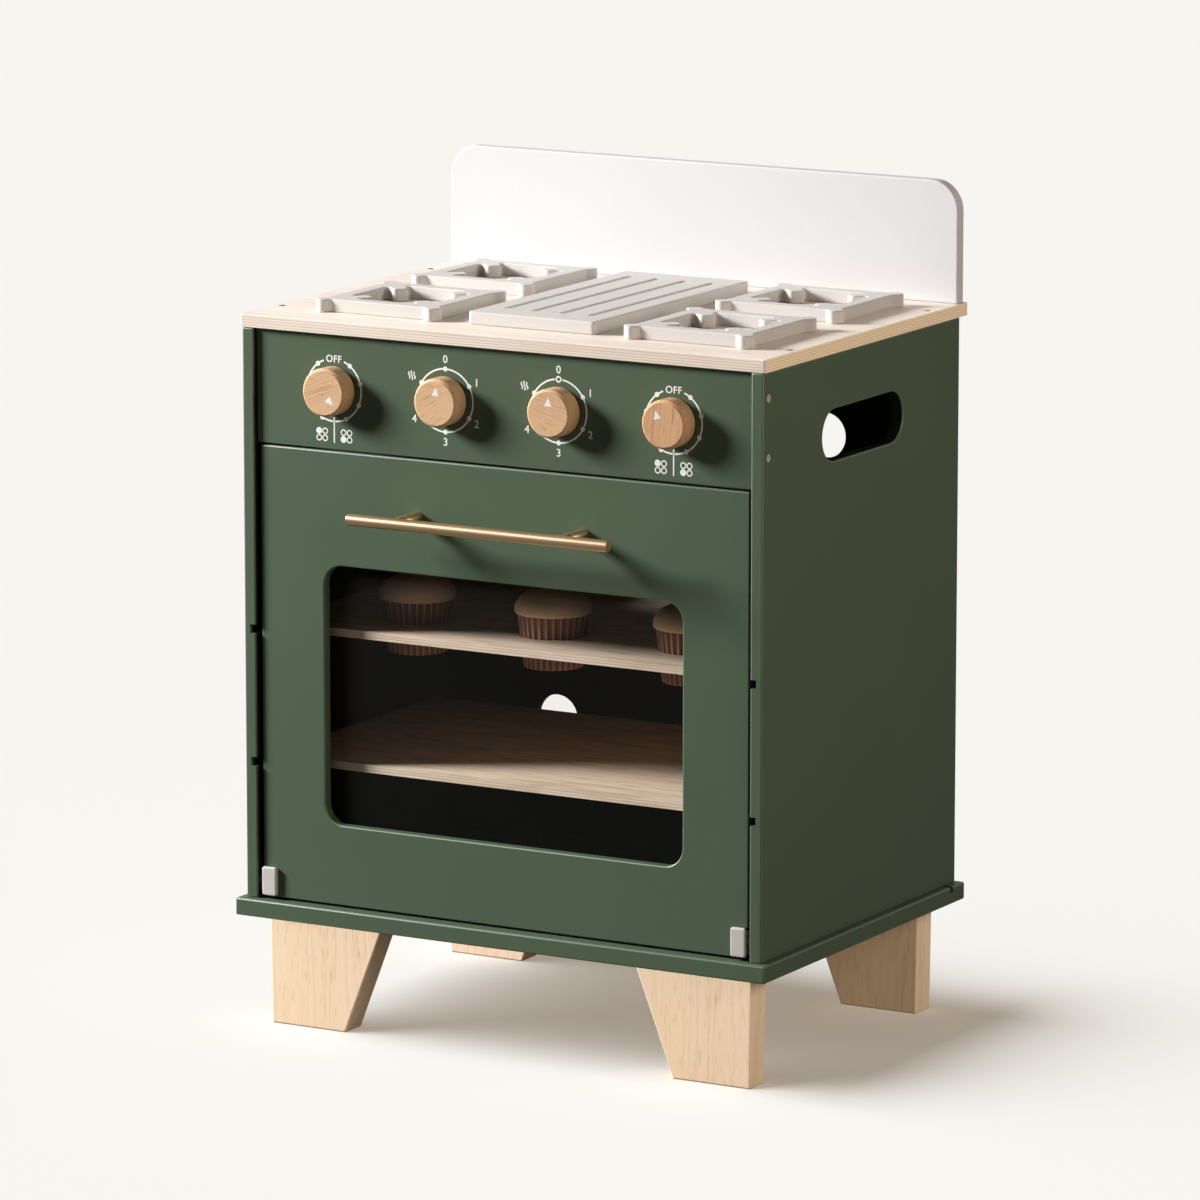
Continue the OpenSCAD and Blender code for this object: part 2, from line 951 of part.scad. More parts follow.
module handle_posts() {
    color("Peru")
        difference() {
            for (x = [-1, 1])
                translate([x * handle_spacing / 2, front_recess, handle_z])
                    rotate([90, 0, 0])
                        cylinder(d = post_d, h = handle_out);
            translate([-handle_l / 2, handle_y, handle_z])
                rotate([0, 90, 0])
                    cylinder(d = handle_d, h = handle_l);
            at_handle_screws()
                screw_bore(handle_screw_l);
        }
}

module handle_screws() {
    color("DarkGray")
        at_handle_screws()
            screw(handle_screw_l);
}

// Clip round the door's lower corner: a rounded plate in front, a web in the notch, a plate behind, a pin
module hinge_clip(side) {
    front_r = 2;
    front_y = front_recess - clip_proud;
    inner = clip_x - clip_w;
    color("LightGray")
        mirror([side > 0 ? 0 : 1, 0, 0])
            difference() {
                union() {
                    hull()
                        for (x = [inner + front_r, clip_x - front_r], z = [clip_z + front_r, clip_z + clip_h - front_r])
                            translate([x, front_recess, z])
                                rotate([90, 0, 0])
                                    puck(front_r, clip_proud, arris_r);
                    block(
                        [clip_x - clip_t, front_y + clip_t, clip_z + front_r],
                        [clip_x, panel_back_y + clip_back_t, clip_z + clip_h - front_r]
                    );
                    block(
                        [inner, panel_back_y, clip_z],
                        [clip_x, panel_back_y + clip_back_t, clip_z + clip_h]
                    );
                    translate([clip_x - clip_t / 2, pin_y, pin_z])
                        rotate([0, 90, 0])
                            cylinder(
                                d = pin_d,
                                h = clip_t / 2 + 0.5 + door_side_gap + bush_depth - 2,
                                $fn = 48
                            );
                }
                at_hinge_screws()
                    proud_screw_bore(hinge_screw_l);
            }
}

module left_hinge_clip() {
    hinge_clip(-1);
}

module right_hinge_clip() {
    hinge_clip(1);
}

module hinge_screws() {
    color("DarkGray")
        at_hinge_screws()
            proud_screw(hinge_screw_l);
}

module strike_plate() {
    color("Silver")
        block(
            [-strike_w / 2, panel_back_y - strike_t, door_top_z - magnet_drop - strike_h / 2],
            [strike_w / 2, panel_back_y, door_top_z - magnet_drop + strike_h / 2]
        );
}

// Knobs: local z points out of the control panel

module at_knob(i) {
    translate([knob_shift + (i - 2.5) * knob_pitch, front_recess - knob_gap, knob_z])
        rotate([90, 0, 0])
            children();
}

module knob(i) {
    r = knob_d / 2;
    color("Peru")
        at_knob(i)
            difference() {
                rotate_extrude()
                    polygon([
                        [0, 0], [r - knob_back_edge, 0], [r, knob_back_edge],
                        [r, knob_t - knob_bevel], [r - knob_bevel, knob_t], [0, knob_t]
                    ]);
                translate([0, 0, -over])
                    cylinder(d = axle_d + 2 * run_gap, h = axle_in + over, $fn = 48);
            }
}

module knob_axle(i) {
    ring_z = -knob_gap - panel_t - seat_gap - ring_t;
    color("Silver")
        at_knob(i) {
            translate([0, 0, ring_z + ring_t + run_gap])
                cylinder(d = axle_d, h = axle_in - ring_z - ring_t - run_gap, $fn = 48);
            translate([0, 0, ring_z - run_gap])
                cylinder(d = axle_d - 2 * ring_groove, h = ring_t + 2 * run_gap, $fn = 48);
            translate([0, 0, ring_z - run_gap - axle_tail])
                cylinder(d = axle_d, h = axle_tail, $fn = 48);
        }
}

module axle_clip(i) {
    ring_z = -knob_gap - panel_t - seat_gap - ring_t;
    color("DarkGray")
        at_knob(i)
            translate([0, 0, ring_z])
                difference() {
                    cylinder(d = ring_d, h = ring_t, $fn = 48);
                    translate([0, 0, -over])
                        cylinder(d = axle_d - 2 * (ring_groove - run_gap), h = ring_t + 2 * over, $fn = 48);
                }
}

// Muffins

module at_muffin(i) {
    translate([(i - 2) * muffin_pitch, muffin_back, cup_z])
        children();
}

module muffin_cup(i) {
    color("Sienna")
        at_muffin(i)
            cylinder(d1 = cup_foot_d, d2 = cup_top_d, h = cup_h);
}

// Domed top: a short upright side, then a low rounded cap
module muffin_top(i) {
    r = muffin_d / 2;
    color("Tan")
        at_muffin(i)
            translate([0, 0, cup_h])
                rotate_extrude()
                    polygon(concat(
                        [[0, 0], [r - dome_rim, 0], [r, dome_rim]],
                        [for (t = [0 : 10 : 80]) [r * pow(cos(t), 0.8), dome_side + (dome_h - dome_side) * sin(t)]],
                        [[0, dome_h]]
                    ));
}

module placed() {
    translate([0, -y_mid, 0])
        children();
}

placed() {
    base_plate();
    left_side_panel();
    right_side_panel();
    back_panel();
    control_panel();
    countertop();
    backsplash();
    upper_shelf();
    lower_shelf();
    front_left_leg();
    front_right_leg();
    back_left_leg();
    back_right_leg();
    front_left_grate();
    front_right_grate();
    back_left_grate();
    back_right_grate();
    griddle();
    countertop_screws();
    control_panel_screws();
    base_screws();
    leg_screws();
    backsplash_screws();
    hob_screws();
    hinge_bushes();
    magnet_catch();
    catch_magnet();
    catch_screws();
    door_panel();
    door_window();
    window_screws();
    handle_bar();
    handle_posts();
    handle_screws();
    left_hinge_clip();
    right_hinge_clip();
    hinge_screws();
    strike_plate();
    knob(1);  // knob_1
    knob(2);  // knob_2
    knob(3);  // knob_3
    knob(4);  // knob_4
    knob_axle(1);  // knob_axle_1
    knob_axle(2);  // knob_axle_2
    knob_axle(3);  // knob_axle_3
    knob_axle(4);  // knob_axle_4
    axle_clip(1);  // axle_clip_1
    axle_clip(2);  // axle_clip_2
    axle_clip(3);  // axle_clip_3
    axle_clip(4);  // axle_clip_4
    muffin_cup(1);  // muffin_cup_1
    muffin_cup(2);  // muffin_cup_2
    muffin_cup(3);  // muffin_cup_3
    muffin_top(1);  // muffin_top_1
    muffin_top(2);  // muffin_top_2
    muffin_top(3);  // muffin_top_3
}
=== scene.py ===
# %% [markdown]
# # A toy oven: paint, plywood, pine and copper
# The cabinet, its door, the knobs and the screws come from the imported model, and their places are fixed.
# This lesson dresses them: it makes smooth surfaces for the turned and routed pieces, prints the dials,
# gives each piece a finish that is worked out from its own coordinates, and lights the whole on a pale floor.

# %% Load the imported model
import json
import math

import bmesh
import bpy
import numpy as np
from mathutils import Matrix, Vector

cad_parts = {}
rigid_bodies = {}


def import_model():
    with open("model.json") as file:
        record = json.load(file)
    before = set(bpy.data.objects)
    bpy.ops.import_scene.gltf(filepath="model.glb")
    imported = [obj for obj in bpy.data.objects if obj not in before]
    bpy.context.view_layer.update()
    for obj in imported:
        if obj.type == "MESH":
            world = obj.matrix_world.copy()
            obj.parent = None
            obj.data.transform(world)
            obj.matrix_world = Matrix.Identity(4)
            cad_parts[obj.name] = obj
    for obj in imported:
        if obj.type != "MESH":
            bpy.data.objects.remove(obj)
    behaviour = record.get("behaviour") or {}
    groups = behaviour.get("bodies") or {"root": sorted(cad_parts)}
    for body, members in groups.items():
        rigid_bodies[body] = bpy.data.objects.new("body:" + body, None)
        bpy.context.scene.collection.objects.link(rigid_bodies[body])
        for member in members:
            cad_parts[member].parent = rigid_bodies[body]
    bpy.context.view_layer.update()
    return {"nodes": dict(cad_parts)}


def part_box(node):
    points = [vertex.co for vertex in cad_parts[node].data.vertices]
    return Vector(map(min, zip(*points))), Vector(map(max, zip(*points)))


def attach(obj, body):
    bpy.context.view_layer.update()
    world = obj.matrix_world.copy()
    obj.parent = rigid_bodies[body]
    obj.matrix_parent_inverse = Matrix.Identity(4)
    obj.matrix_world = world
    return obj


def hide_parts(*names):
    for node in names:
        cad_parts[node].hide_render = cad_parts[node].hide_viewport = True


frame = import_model()
nodes = frame["nodes"]
MM = 0.001

# %% [markdown]
# ## Camera
# The oven is seen from its front right, a little from above, through a long lens, so its edges run almost
# parallel. A long lens far away is used because a short one close by would make the front look wider.

# %% Camera
CAMERA_PLACE = (2.56263, -4.48446, 1.28155)
LOOK_DOWN = 0.1891
LOOK_LEFT = 0.5184
LENS_MM = 231.83

camera = bpy.data.objects.new("camera", bpy.data.cameras.new("camera"))
bpy.context.scene.collection.objects.link(camera)
camera.location = CAMERA_PLACE
camera.rotation_euler = (math.pi / 2 - LOOK_DOWN, 0, LOOK_LEFT)
camera.data.sensor_width = 36
camera.data.lens = LENS_MM
camera.data.clip_end = 200
bpy.context.scene.camera = camera
bpy.context.scene.view_settings.view_transform = "Standard"
print("camera looks down by", round(math.degrees(LOOK_DOWN), 1), "degrees")

# %% [markdown]
# ## Sums on sockets
# A finish is a sum of patterns, and sums are easier to read as Python than as a web of nodes. One small class
# wraps a socket, so that `1 - mask` adds a Math node. Another class holds the material that is being made.

# %% Sockets that can be added and multiplied
class Wire:
    """A shader socket in a sum: an operator adds a Math node and gives that node's output."""

    def __init__(self, finish, socket):
        self.finish = finish
        self.socket = socket

    def math(self, operation, first, second=0.0):
        return self.finish.add("ShaderNodeMath", {"operation": operation}, {0: first, 1: second})

    def __add__(self, other):
        return self.math("ADD", self, other)

    def __sub__(self, other):
        return self.math("SUBTRACT", self, other)

    def __rsub__(self, other):
        return self.math("SUBTRACT", other, self)

    def __mul__(self, other):
        return self.math("MULTIPLY", self, other)

    def __gt__(self, other):
        return self.math("GREATER_THAN", self, other)

    def __lt__(self, other):
        return self.math("LESS_THAN", self, other)

    def __pow__(self, other):
        return self.math("POWER", self, other)

    def __abs__(self):
        return self.math("ABSOLUTE", self)

    __radd__ = __add__
    __rmul__ = __mul__

    def ramp(self, low, high):
        """0 below low, 1 above high and a smooth step between them."""
        settings = {"interpolation_type": "SMOOTHSTEP"}
        return self.finish.add("ShaderNodeMapRange", settings, {0: self, 1: low, 2: high, 3: 0.0, 4: 1.0})


# %% A material under construction
class Finish:
    """A material whose main shader is Principled. Constants go to its own sockets, patterns through add()."""

    def __init__(self, name, **constants):
        self.material = bpy.data.materials.new(name)
        self.material.use_nodes = True
        self.tree = self.material.node_tree
        self.tree.nodes.clear()
        self.output = self.tree.nodes.new("ShaderNodeOutputMaterial")
        self.shader = self.tree.nodes.new("ShaderNodeBsdfPrincipled")
        self.tree.links.new(self.shader.outputs[0], self.output.inputs[0])
        self.place = self.add("ShaderNodeTexCoord", out="Object")
        for socket, value in constants.items():
            self.shader.inputs[socket.replace("_", " ")].default_value = value

    def feed(self, socket, value):
        if isinstance(value, Wire):
            self.tree.links.new(value.socket, socket)
        elif isinstance(value, tuple) and socket.type == "RGBA":
            socket.default_value = value[:3] + (1.0,)
        else:
            socket.default_value = value

    def add(self, kind, settings=None, sockets=None, out=0):
        """One node: its settings are set first, then its sockets get their values or links."""
        node = self.tree.nodes.new(kind)
        for name, value in (settings or {}).items():
            if name == "stops":
                while len(node.color_ramp.elements) < len(value):
                    node.color_ramp.elements.new(0.5)
                for element, (position, colour) in zip(node.color_ramp.elements, value):
                    element.position = position
                    element.color = colour + (1.0,)
            else:
                setattr(node, name, value)
        for name, value in (sockets or {}).items():
            self.feed(node.inputs[name], value)
        return Wire(self, node.outputs[out])

    def put(self, **sockets):
        """Links patterns to the main shader's sockets."""
        for name, value in sockets.items():
            self.feed(self.shader.inputs[name.replace("_", " ")], value)

    def axis(self, name):
        return self.add("ShaderNodeSeparateXYZ", sockets={0: self.place}, out="XYZ".index(name))

    def stretched(self, scale, turn=(0, 0, 0), centre=(0, 0, 0)):
        """Object coordinates about a centre, turned, then squeezed or stretched along each axis."""
        moved = self.add("ShaderNodeVectorMath", {"operation": "SUBTRACT"}, {0: self.place, 1: centre})
        turned = self.add("ShaderNodeMapping", {"vector_type": "POINT"}, {"Vector": moved, "Rotation": turn})
        return self.add("ShaderNodeVectorMath", {"operation": "MULTIPLY"}, {0: turned, 1: scale})

    def noise(self, size=1.0, where=None, detail=2.0, roughness=0.5, distortion=0.0):
        """Noise from 0 to 1 whose blobs are about size across, in metres or in stretched units."""
        sockets = {"Vector": where or self.place, "Scale": 1 / size, "Detail": detail}
        sockets.update({"Roughness": roughness, "Distortion": distortion})
        return self.add("ShaderNodeTexNoise", sockets=sockets)

    def mix(self, factor, first, second, blend="MIX"):
        """Colour between first (factor 0) and second (factor 1)."""
        settings = {"data_type": "RGBA", "blend_type": blend}
        return self.add("ShaderNodeMix", settings, {0: factor, 6: first, 7: second}, out=2)

    def bump(self, height, depth):
        """Normal from a height of 0 to 1 that stands for a depth in metres."""
        return self.add("ShaderNodeBump", sockets={"Strength": 1.0, "Distance": depth, "Height": height})


print("sums on sockets are ready")

# %% [markdown]
# ## Painted boards
# The real boards are sprayed with satin paint. Sprayed paint is never quite flat: it has a fine ripple and its
# gloss and colour drift a little over a board. So a paint is one colour that a broad noise makes lighter and
# darker, with a fine ripple in the bump. The side panels are black inside, and the black also covers the walls of
# their cut-outs up to 1.2 mm below the outer face. So one finish holds both paints, and a mask on the
# coordinates tells them apart.

# %% Paints
GREEN = (0.082, 0.123, 0.0748)
BLACK = (0.007, 0.007, 0.0065)
WHITE = (0.69, 0.69, 0.705)
GREY = (0.63, 0.607, 0.578)
SKIN = 1.2 * MM
SLACK = 0.2 * MM


def shade(colour, amount):
    return tuple(c * amount for c in colour)


def inner_skin(finish, low, high):
    """1 on a side panel's inner face and in its cut-outs up to 1.2 mm below the outer face, else 0."""
    x, y, z = abs(finish.axis("X")), finish.axis("Y"), finish.axis("Z")
    margin = 3 * MM
    core = (x < high.x - SKIN) * (y > low.y + margin) * (y < high.y - margin)
    core = core * (z > low.z + margin) * (z < high.z - margin)
    both = (x < low.x + SLACK) + core
    return both > 0.5


def paint(name, colour, gloss=0.42, ripple=0.00002, drift=0.05, shine=0.28, skin=None):
    """Sprayed paint: gloss is its roughness, shine its mirror level, skin the box of a panel black inside."""
    finish = Finish(name, Specular_IOR_Level=shine)
    broad = finish.noise(0.11, detail=3)
    fine = finish.noise(0.0016, detail=2)
    speck = finish.noise(0.006, detail=4)
    tone = finish.mix(broad, shade(colour, 1 - drift), shade(colour, 1 + drift))
    tone = finish.mix(speck.ramp(0.62, 0.8) * 0.25, tone, shade(colour, 1.12))
    rough = gloss + (broad - 0.5) * 0.10 + (speck - 0.5) * 0.06
    if skin:
        inside = inner_skin(finish, *skin)
        tone = finish.mix(inside, tone, BLACK)
        rough = rough + inside * 0.15
    finish.put(Base_Color=tone, Roughness=rough, Normal=finish.bump(fine + broad * 0.4, ripple))
    return finish.material


side_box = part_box("right_side_panel")
green_paint = paint("green_paint", GREEN)
side_paint = paint("green_paint_sides", GREEN, skin=side_box)
# Painted highlight: the paint on the round edges is 1.25 times lighter than on the flat faces, and glossier.
PAINTED_HIGHLIGHT_GREEN = shade(GREEN, 1.25)
painted_highlight_edge_coat = paint("green_paint_on_edges", PAINTED_HIGHLIGHT_GREEN, gloss=0.45, shine=0.95)
painted_highlight_side_edge_coat = paint("green_paint_on_side_edges", PAINTED_HIGHLIGHT_GREEN, gloss=0.45, shine=0.95, skin=side_box)
black_paint = paint("black_paint", BLACK, gloss=0.5)
white_paint = paint("white_paint", WHITE, gloss=0.38, drift=0.01)
grey_paint = paint("grey_paint", GREY, gloss=0.5, ripple=0.00005, drift=0.03)
print("paints", green_paint.name, side_paint.name, black_paint.name, white_paint.name, grey_paint.name)

# %% [markdown]
# ## Birch plywood
# The countertop and the shelves are plywood: thin sheets of birch whose grain runs across each other, so a cut
# edge shows pale and brown lines. A picture wrapped on the board would slide at its edges, so the finish is a
# solid one: the height in the board tells which sheet a point is in, and each sheet has its own grain.

# %% Plywood
def plywood(name, node, lines, strength=1.0, pale=(0.83, 0.74, 0.66), face=1.0):
    """Plywood of a number of sheets. A face below 1 dims and warms the two outer faces."""
    low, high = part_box(node)
    finish = Finish(name)
    height = (finish.axis("Z") - low.z) * (1 / (high.z - low.z))
    wander = finish.noise(0.05, finish.stretched((1, 1, 4)), detail=3)
    sheet = (height + (wander - 0.5) * 0.05) * lines
    line = abs(finish.add("ShaderNodeMath", {"operation": "FRACT"}, {0: sheet}) - 0.5)
    grain = finish.noise(0.006, finish.stretched((0.12, 1, 1)), detail=6, roughness=0.62, distortion=0.4)
    figure = finish.noise(0.05, finish.stretched((0.22, 1, 1)), detail=4, roughness=0.6, distortion=1.2)
    fibre = finish.noise(0.0011, finish.stretched((0.06, 1, 1)), detail=3)
    tone = finish.mix(figure.ramp(0.35, 0.7), shade(pale, 1.05), shade(pale, 0.94))
    tone = finish.mix(grain.ramp(0.42, 0.66) * (0.4 * strength), tone, (0.70, 0.54, 0.40))
    inside = (height < 0.93) * (height > 0.07)
    tone = finish.mix(fibre.ramp(0.55, 0.8) * (1 - inside * 0.7) * (0.3 * strength), tone, (0.64, 0.50, 0.37))
    tint = shade((1.0, 0.97, 0.93), face) if face < 1 else (1.0, 1.0, 1.0)
    tone = finish.mix(1 - inside, tone, tint, "MULTIPLY")
    cut = line.ramp(0.24, 0.42) * inside
    ends = finish.noise(0.0030, finish.stretched((0.06, 0.06, 1)), detail=2)
    tone = finish.mix(inside * 0.35, tone, shade(pale, 0.90))
    side = abs(finish.axis("X")) > high.x - SLACK
    tone = finish.mix(side, tone, finish.mix(ends, (0.78, 0.60, 0.41), (0.92, 0.78, 0.59)))
    tone = finish.mix(cut * (0.25 + ends * 0.9), tone, (0.60, 0.44, 0.30))
    finish.put(Base_Color=tone, Roughness=0.62 - grain * 0.12)
    finish.put(Normal=finish.bump(grain * 0.5 + fibre * 0.6 + cut * 0.4, 0.00006))
    return finish.material


top_ply = plywood("birch_ply_top", "countertop", 5, 0.8)
SHELF_PALE = (0.93, 0.79, 0.655)
upper_ply = plywood("birch_ply_upper", "upper_shelf", 3, 2.2, SHELF_PALE, 0.88)
lower_ply = plywood("birch_ply_lower", "lower_shelf", 3, 2.2, SHELF_PALE, 0.88)
print("plywood", top_ply.name, upper_ply.name, lower_ply.name)

# %% [markdown]
# ## Pine legs and turned knobs
# A board of pine is cut across rings of growth, which show as long lines that wander along it. The rings are
# taken as a wave over the distance from a far-off heart, bent by a noise that is stretched along the grain. The
# knobs are turned from a harder wood with finer lines, and each knob's lines lie at their own slope, so a
# Mapping node turns them about the knob's axis.

# %% Solid wood
def timber(name, pale, dark, turn, centre, ring=0.007, swirl=0.6, streak=0.35, flecks=0.0, strips=0.0):
    """Solid wood: ring is the distance of its lines and swirl their wander, streak and flecks are their
    strength, and strips is the width of the strips that it is glued from, in metres."""
    finish = Finish(name)
    grain_space = finish.stretched((1, 1, 0.10), turn, centre)
    bend = finish.noise(0.030, grain_space, detail=3, distortion=0.3)
    across = finish.add("ShaderNodeSeparateXYZ", sockets={0: grain_space}, out=0)
    rings = (across + bend * (swirl * 0.045)) * (1 / ring)
    saw = finish.add("ShaderNodeMath", {"operation": "FRACT"}, {0: rings})
    late = saw.ramp(0.45, 0.92) * (1 - saw.ramp(0.93, 1.0))
    fibre = finish.noise(0.0012, finish.stretched((1, 1, 0.04), turn, centre), detail=4, roughness=0.6)
    patch = finish.noise(0.040, grain_space, detail=4)
    tone = finish.mix(patch.ramp(0.3, 0.7), pale, shade(pale, 0.93))
    if strips:
        glued = (finish.axis("X") + bend * 0.002) * (1 / strips) + 0.4
        which = finish.add("ShaderNodeMath", {"operation": "FLOOR"}, {0: glued})
        chance = finish.add("ShaderNodeTexWhiteNoise", {"noise_dimensions": "1D"}, {"W": which}, out="Value")
        tone = finish.mix(chance * 0.45, tone, (0.86, 0.62, 0.40))
    tone = finish.mix(late * patch.ramp(0.25, 0.65) * streak, tone, dark)
    tone = finish.mix(fibre.ramp(0.5, 0.8) * (0.10 + streak * 0.5), tone, dark)
    dash = finish.noise(0.0016, finish.stretched((1, 1, 0.14), turn, centre), detail=1)
    tone = finish.mix(dash.ramp(0.60, 0.74) * flecks, tone, shade(dark, 0.8))
    finish.put(Base_Color=tone, Roughness=0.55 + late * 0.08)
    finish.put(Normal=finish.bump(fibre * 0.8 + late * 0.4, 0.00005))
    return finish.material


PINE = (0.89, 0.72, 0.545)
PINE_LATE = (0.68, 0.43, 0.23)
legs = ["front_left_leg", "front_right_leg", "back_left_leg", "back_right_leg"]
pine = {}
for count, leg in enumerate(legs):
    low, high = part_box(leg)
    centre = ((low.x + high.x) / 2 + 0.013 * count, (low.y + high.y) / 2, 0.02 * count)
    turn = (0, math.radians(2 - count), 0)
    pine[leg] = timber("pine_" + leg, PINE, PINE_LATE, turn, centre,
                       ring=0.009, swirl=1.4, streak=0.30, flecks=0.35, strips=0.021)
print("pine", len(pine))

# %% [markdown]
# ## Metal, plastic, pane
# The handle is a copper-coloured bar brushed along its length, so its roughness and bump change mostly round
# the bar. The screws are steel, pale at the sides and dark in the countertop, and the hinge clips are pale
# plastic with a faint mould texture. The pane is a clear sheet with a trace of dust: what is behind it shows
# through, and it mirrors more the more it is seen edge-on.

# %% Metal, plastic, pane
def metal(name, colour, rough, stretch, size=0.0006, depth=0.00001):
    finish = Finish(name, Metallic=1.0)
    brush = finish.noise(size, finish.stretched(stretch), detail=4, roughness=0.7)
    stain = finish.noise(0.02, detail=3)
    tone = finish.mix(stain, shade(colour, 0.94), shade(colour, 1.03))
    finish.put(Base_Color=tone, Roughness=rough + (brush - 0.5) * 0.16)
    finish.put(Normal=finish.bump(brush, depth))
    return finish.material


copper = metal("copper", (0.98, 0.67, 0.43), 0.33, (0.02, 1, 1))
steel = metal("steel", (0.60, 0.585, 0.56), 0.33, (1, 1, 1))
pale_steel = metal("pale_steel", (0.95, 0.88, 0.78), 0.5, (1, 1, 1))
dark_steel = metal("dark_steel", (0.20, 0.19, 0.18), 0.42, (1, 1, 1))

clip_finish = Finish("clip_plastic")
clip_grain = clip_finish.noise(0.0008, detail=3)
clip_cloud = clip_finish.noise(0.008, clip_finish.stretched((1, 1, 0.3)), detail=2)
clip_finish.put(Base_Color=clip_finish.mix(clip_cloud, (0.57, 0.55, 0.50), (0.64, 0.62, 0.58)))
clip_finish.put(Roughness=0.42 + clip_grain * 0.1, Normal=clip_finish.bump(clip_grain, 0.00003))
clip_plastic = clip_finish.material

bush_finish = Finish("dark_plastic")
bush_grain = bush_finish.noise(0.0008, detail=3)
bush_finish.put(Base_Color=bush_finish.mix(bush_grain, (0.03, 0.03, 0.03), (0.05, 0.05, 0.05)))
bush_finish.put(Roughness=0.45 + bush_grain * 0.1, Normal=bush_finish.bump(bush_grain, 0.00002))
dark_plastic = bush_finish.material

pane_finish = Finish("pane", Roughness=0.03, IOR=1.45)
smear = pane_finish.noise(0.05, detail=3)
pane_finish.put(Base_Color=pane_finish.mix(smear, (0.24, 0.24, 0.22), (0.34, 0.34, 0.31)))
pane_finish.put(Roughness=0.02 + smear * 0.03)
clear = pane_finish.add("ShaderNodeBsdfTransparent", sockets={0: (0.985, 0.98, 0.97)})
edge_on = pane_finish.add("ShaderNodeLayerWeight", sockets={"Blend": 0.5}, out="Facing")
gloss = Wire(pane_finish, pane_finish.shader.outputs[0])
glazed = pane_finish.add("ShaderNodeMixShader", sockets={0: 0.014 + edge_on ** 5.0 * 0.3, 1: clear, 2: gloss})
pane_finish.tree.links.new(glazed.socket, pane_finish.output.inputs[0])
pane = pane_finish.material
print("metals and plastics", copper.name, steel.name, clip_plastic.name, dark_plastic.name, pane.name)

# %% [markdown]
# ## From arrays to meshes
# Each new piece is worked out as whole arrays of points. A loft joins rings of points: each ring is a closed
# line round the piece, and faces join each ring to the next. Turned pieces, plates and marks all come from it.

# %% Lofts and fills
def grid_faces(rings, points, closed=True):
    """Quads between neighbouring rings of points; ring i, point j has the number i * points + j."""
    i, j = np.meshgrid(np.arange(rings - 1), np.arange(points if closed else points - 1), indexing="ij")
    k = (j + 1) % points
    quads = np.stack([i * points + j, i * points + k, (i + 1) * points + k, (i + 1) * points + j], axis=-1)
    return quads.reshape(-1, 4)


def mesh_piece(name, parts, material, smooth=True):
    """One object from (points, faces) pairs; a third item marks a flat part. Faces are turned outwards."""
    mesh = bpy.data.meshes.new(name)
    points = np.concatenate([np.asarray(part[0], float).reshape(-1, 3) for part in parts])
    starts = np.cumsum([0] + [len(np.asarray(part[0]).reshape(-1, 3)) for part in parts])
    faces = [tuple(int(v) + int(s) for v in face) for part, s in zip(parts, starts) for face in part[1]]
    curved = [smooth and len(part) == 2 for part in parts for face in part[1]]
    mesh.from_pydata(points.tolist(), [], faces)
    mesh.polygons.foreach_set("use_smooth", curved)
    work = bmesh.new()
    work.from_mesh(mesh)
    bmesh.ops.remove_doubles(work, verts=work.verts, dist=1e-7)
    bmesh.ops.dissolve_degenerate(work, edges=work.edges, dist=1e-8)
    bmesh.ops.recalc_face_normals(work, faces=work.faces)
    work.to_mesh(mesh)
    work.free()
    mesh.materials.append(material)
    piece = bpy.data.objects.new(name, mesh)
    bpy.context.scene.collection.objects.link(piece)
    return piece


def filled(rim_loops):
    """Flat triangles over the area between closed loops of points, by bmesh's triangle fill."""
    work = bmesh.new()
    for loop in rim_loops:
        corners = [work.verts.new(p) for p in loop]
        for a, b in zip(corners, corners[1:] + corners[:1]):
            work.edges.new((a, b))
    bmesh.ops.triangle_fill(work, edges=work.edges, use_beauty=True, use_dissolve=False)
    work.verts.index_update()
    points = [tuple(v.co) for v in work.verts]
    faces = [[v.index for v in face.verts] for face in work.faces]
    work.free()
    return points, faces, "flat"


print("lofts are ready")

# %% [markdown]
# ## Turned pieces
# A knob is turned on a lathe: a line from its middle to its rim is carried once round the axis. Corners of the
# line are rounded, and a point is kept close to each end of a rounding, so that smooth shading stays flat on
# the flat parts.

# %% Lathe
def rounded_line(corners, radii, steps=6, hold=0.12 * MM):
    """Corner points with arcs of the given radii; an arc starts and ends where it meets its two sides."""
    corners = np.asarray(corners, float)
    line = [corners[0]]
    for before, corner, after, radius in zip(corners, corners[1:], corners[2:], radii[1:]):
        a = (before - corner) / np.linalg.norm(before - corner)
        b = (after - corner) / np.linalg.norm(after - corner)
        if radius <= 0:
            line.append(corner)
            continue
        half = math.acos(np.clip(a @ b, -1, 1)) / 2
        reach = radius / math.tan(half)
        middle = corner + (a + b) / np.linalg.norm(a + b) * radius / math.sin(half)
        start, end = corner + a * reach, corner + b * reach
        s = (start - middle) / radius
        e = (end - middle) / radius
        sweep = math.acos(np.clip(s @ e, -1, 1))
        t = np.linspace(0, 1, steps + 1)[:, None]
        arc = middle + radius * (np.sin((1 - t) * sweep) * s + np.sin(t * sweep) * e) / math.sin(sweep)
        line += [start + a * hold] + list(arc) + [end + b * hold]
    line.append(corners[-1])
    return np.array(line)


def turned(line, origin, along, around=96):
    """Rings of a turned piece: the line gives (radius, distance along the axis), the angle goes once round."""
    along = np.array(along, float)
    first = np.cross(along, (0, 0, 1)) if abs(along[2]) < 0.9 else np.array((1.0, 0, 0))
    first /= np.linalg.norm(first)
    second = np.cross(along, first)
    angle = np.linspace(0, 2 * np.pi, around, endpoint=False)
    circle = np.cos(angle)[:, None] * first + np.sin(angle)[:, None] * second
    rings = np.asarray(origin) + line[:, 0, None, None] * circle + line[:, 1, None, None] * along
    return rings, grid_faces(len(line), around)


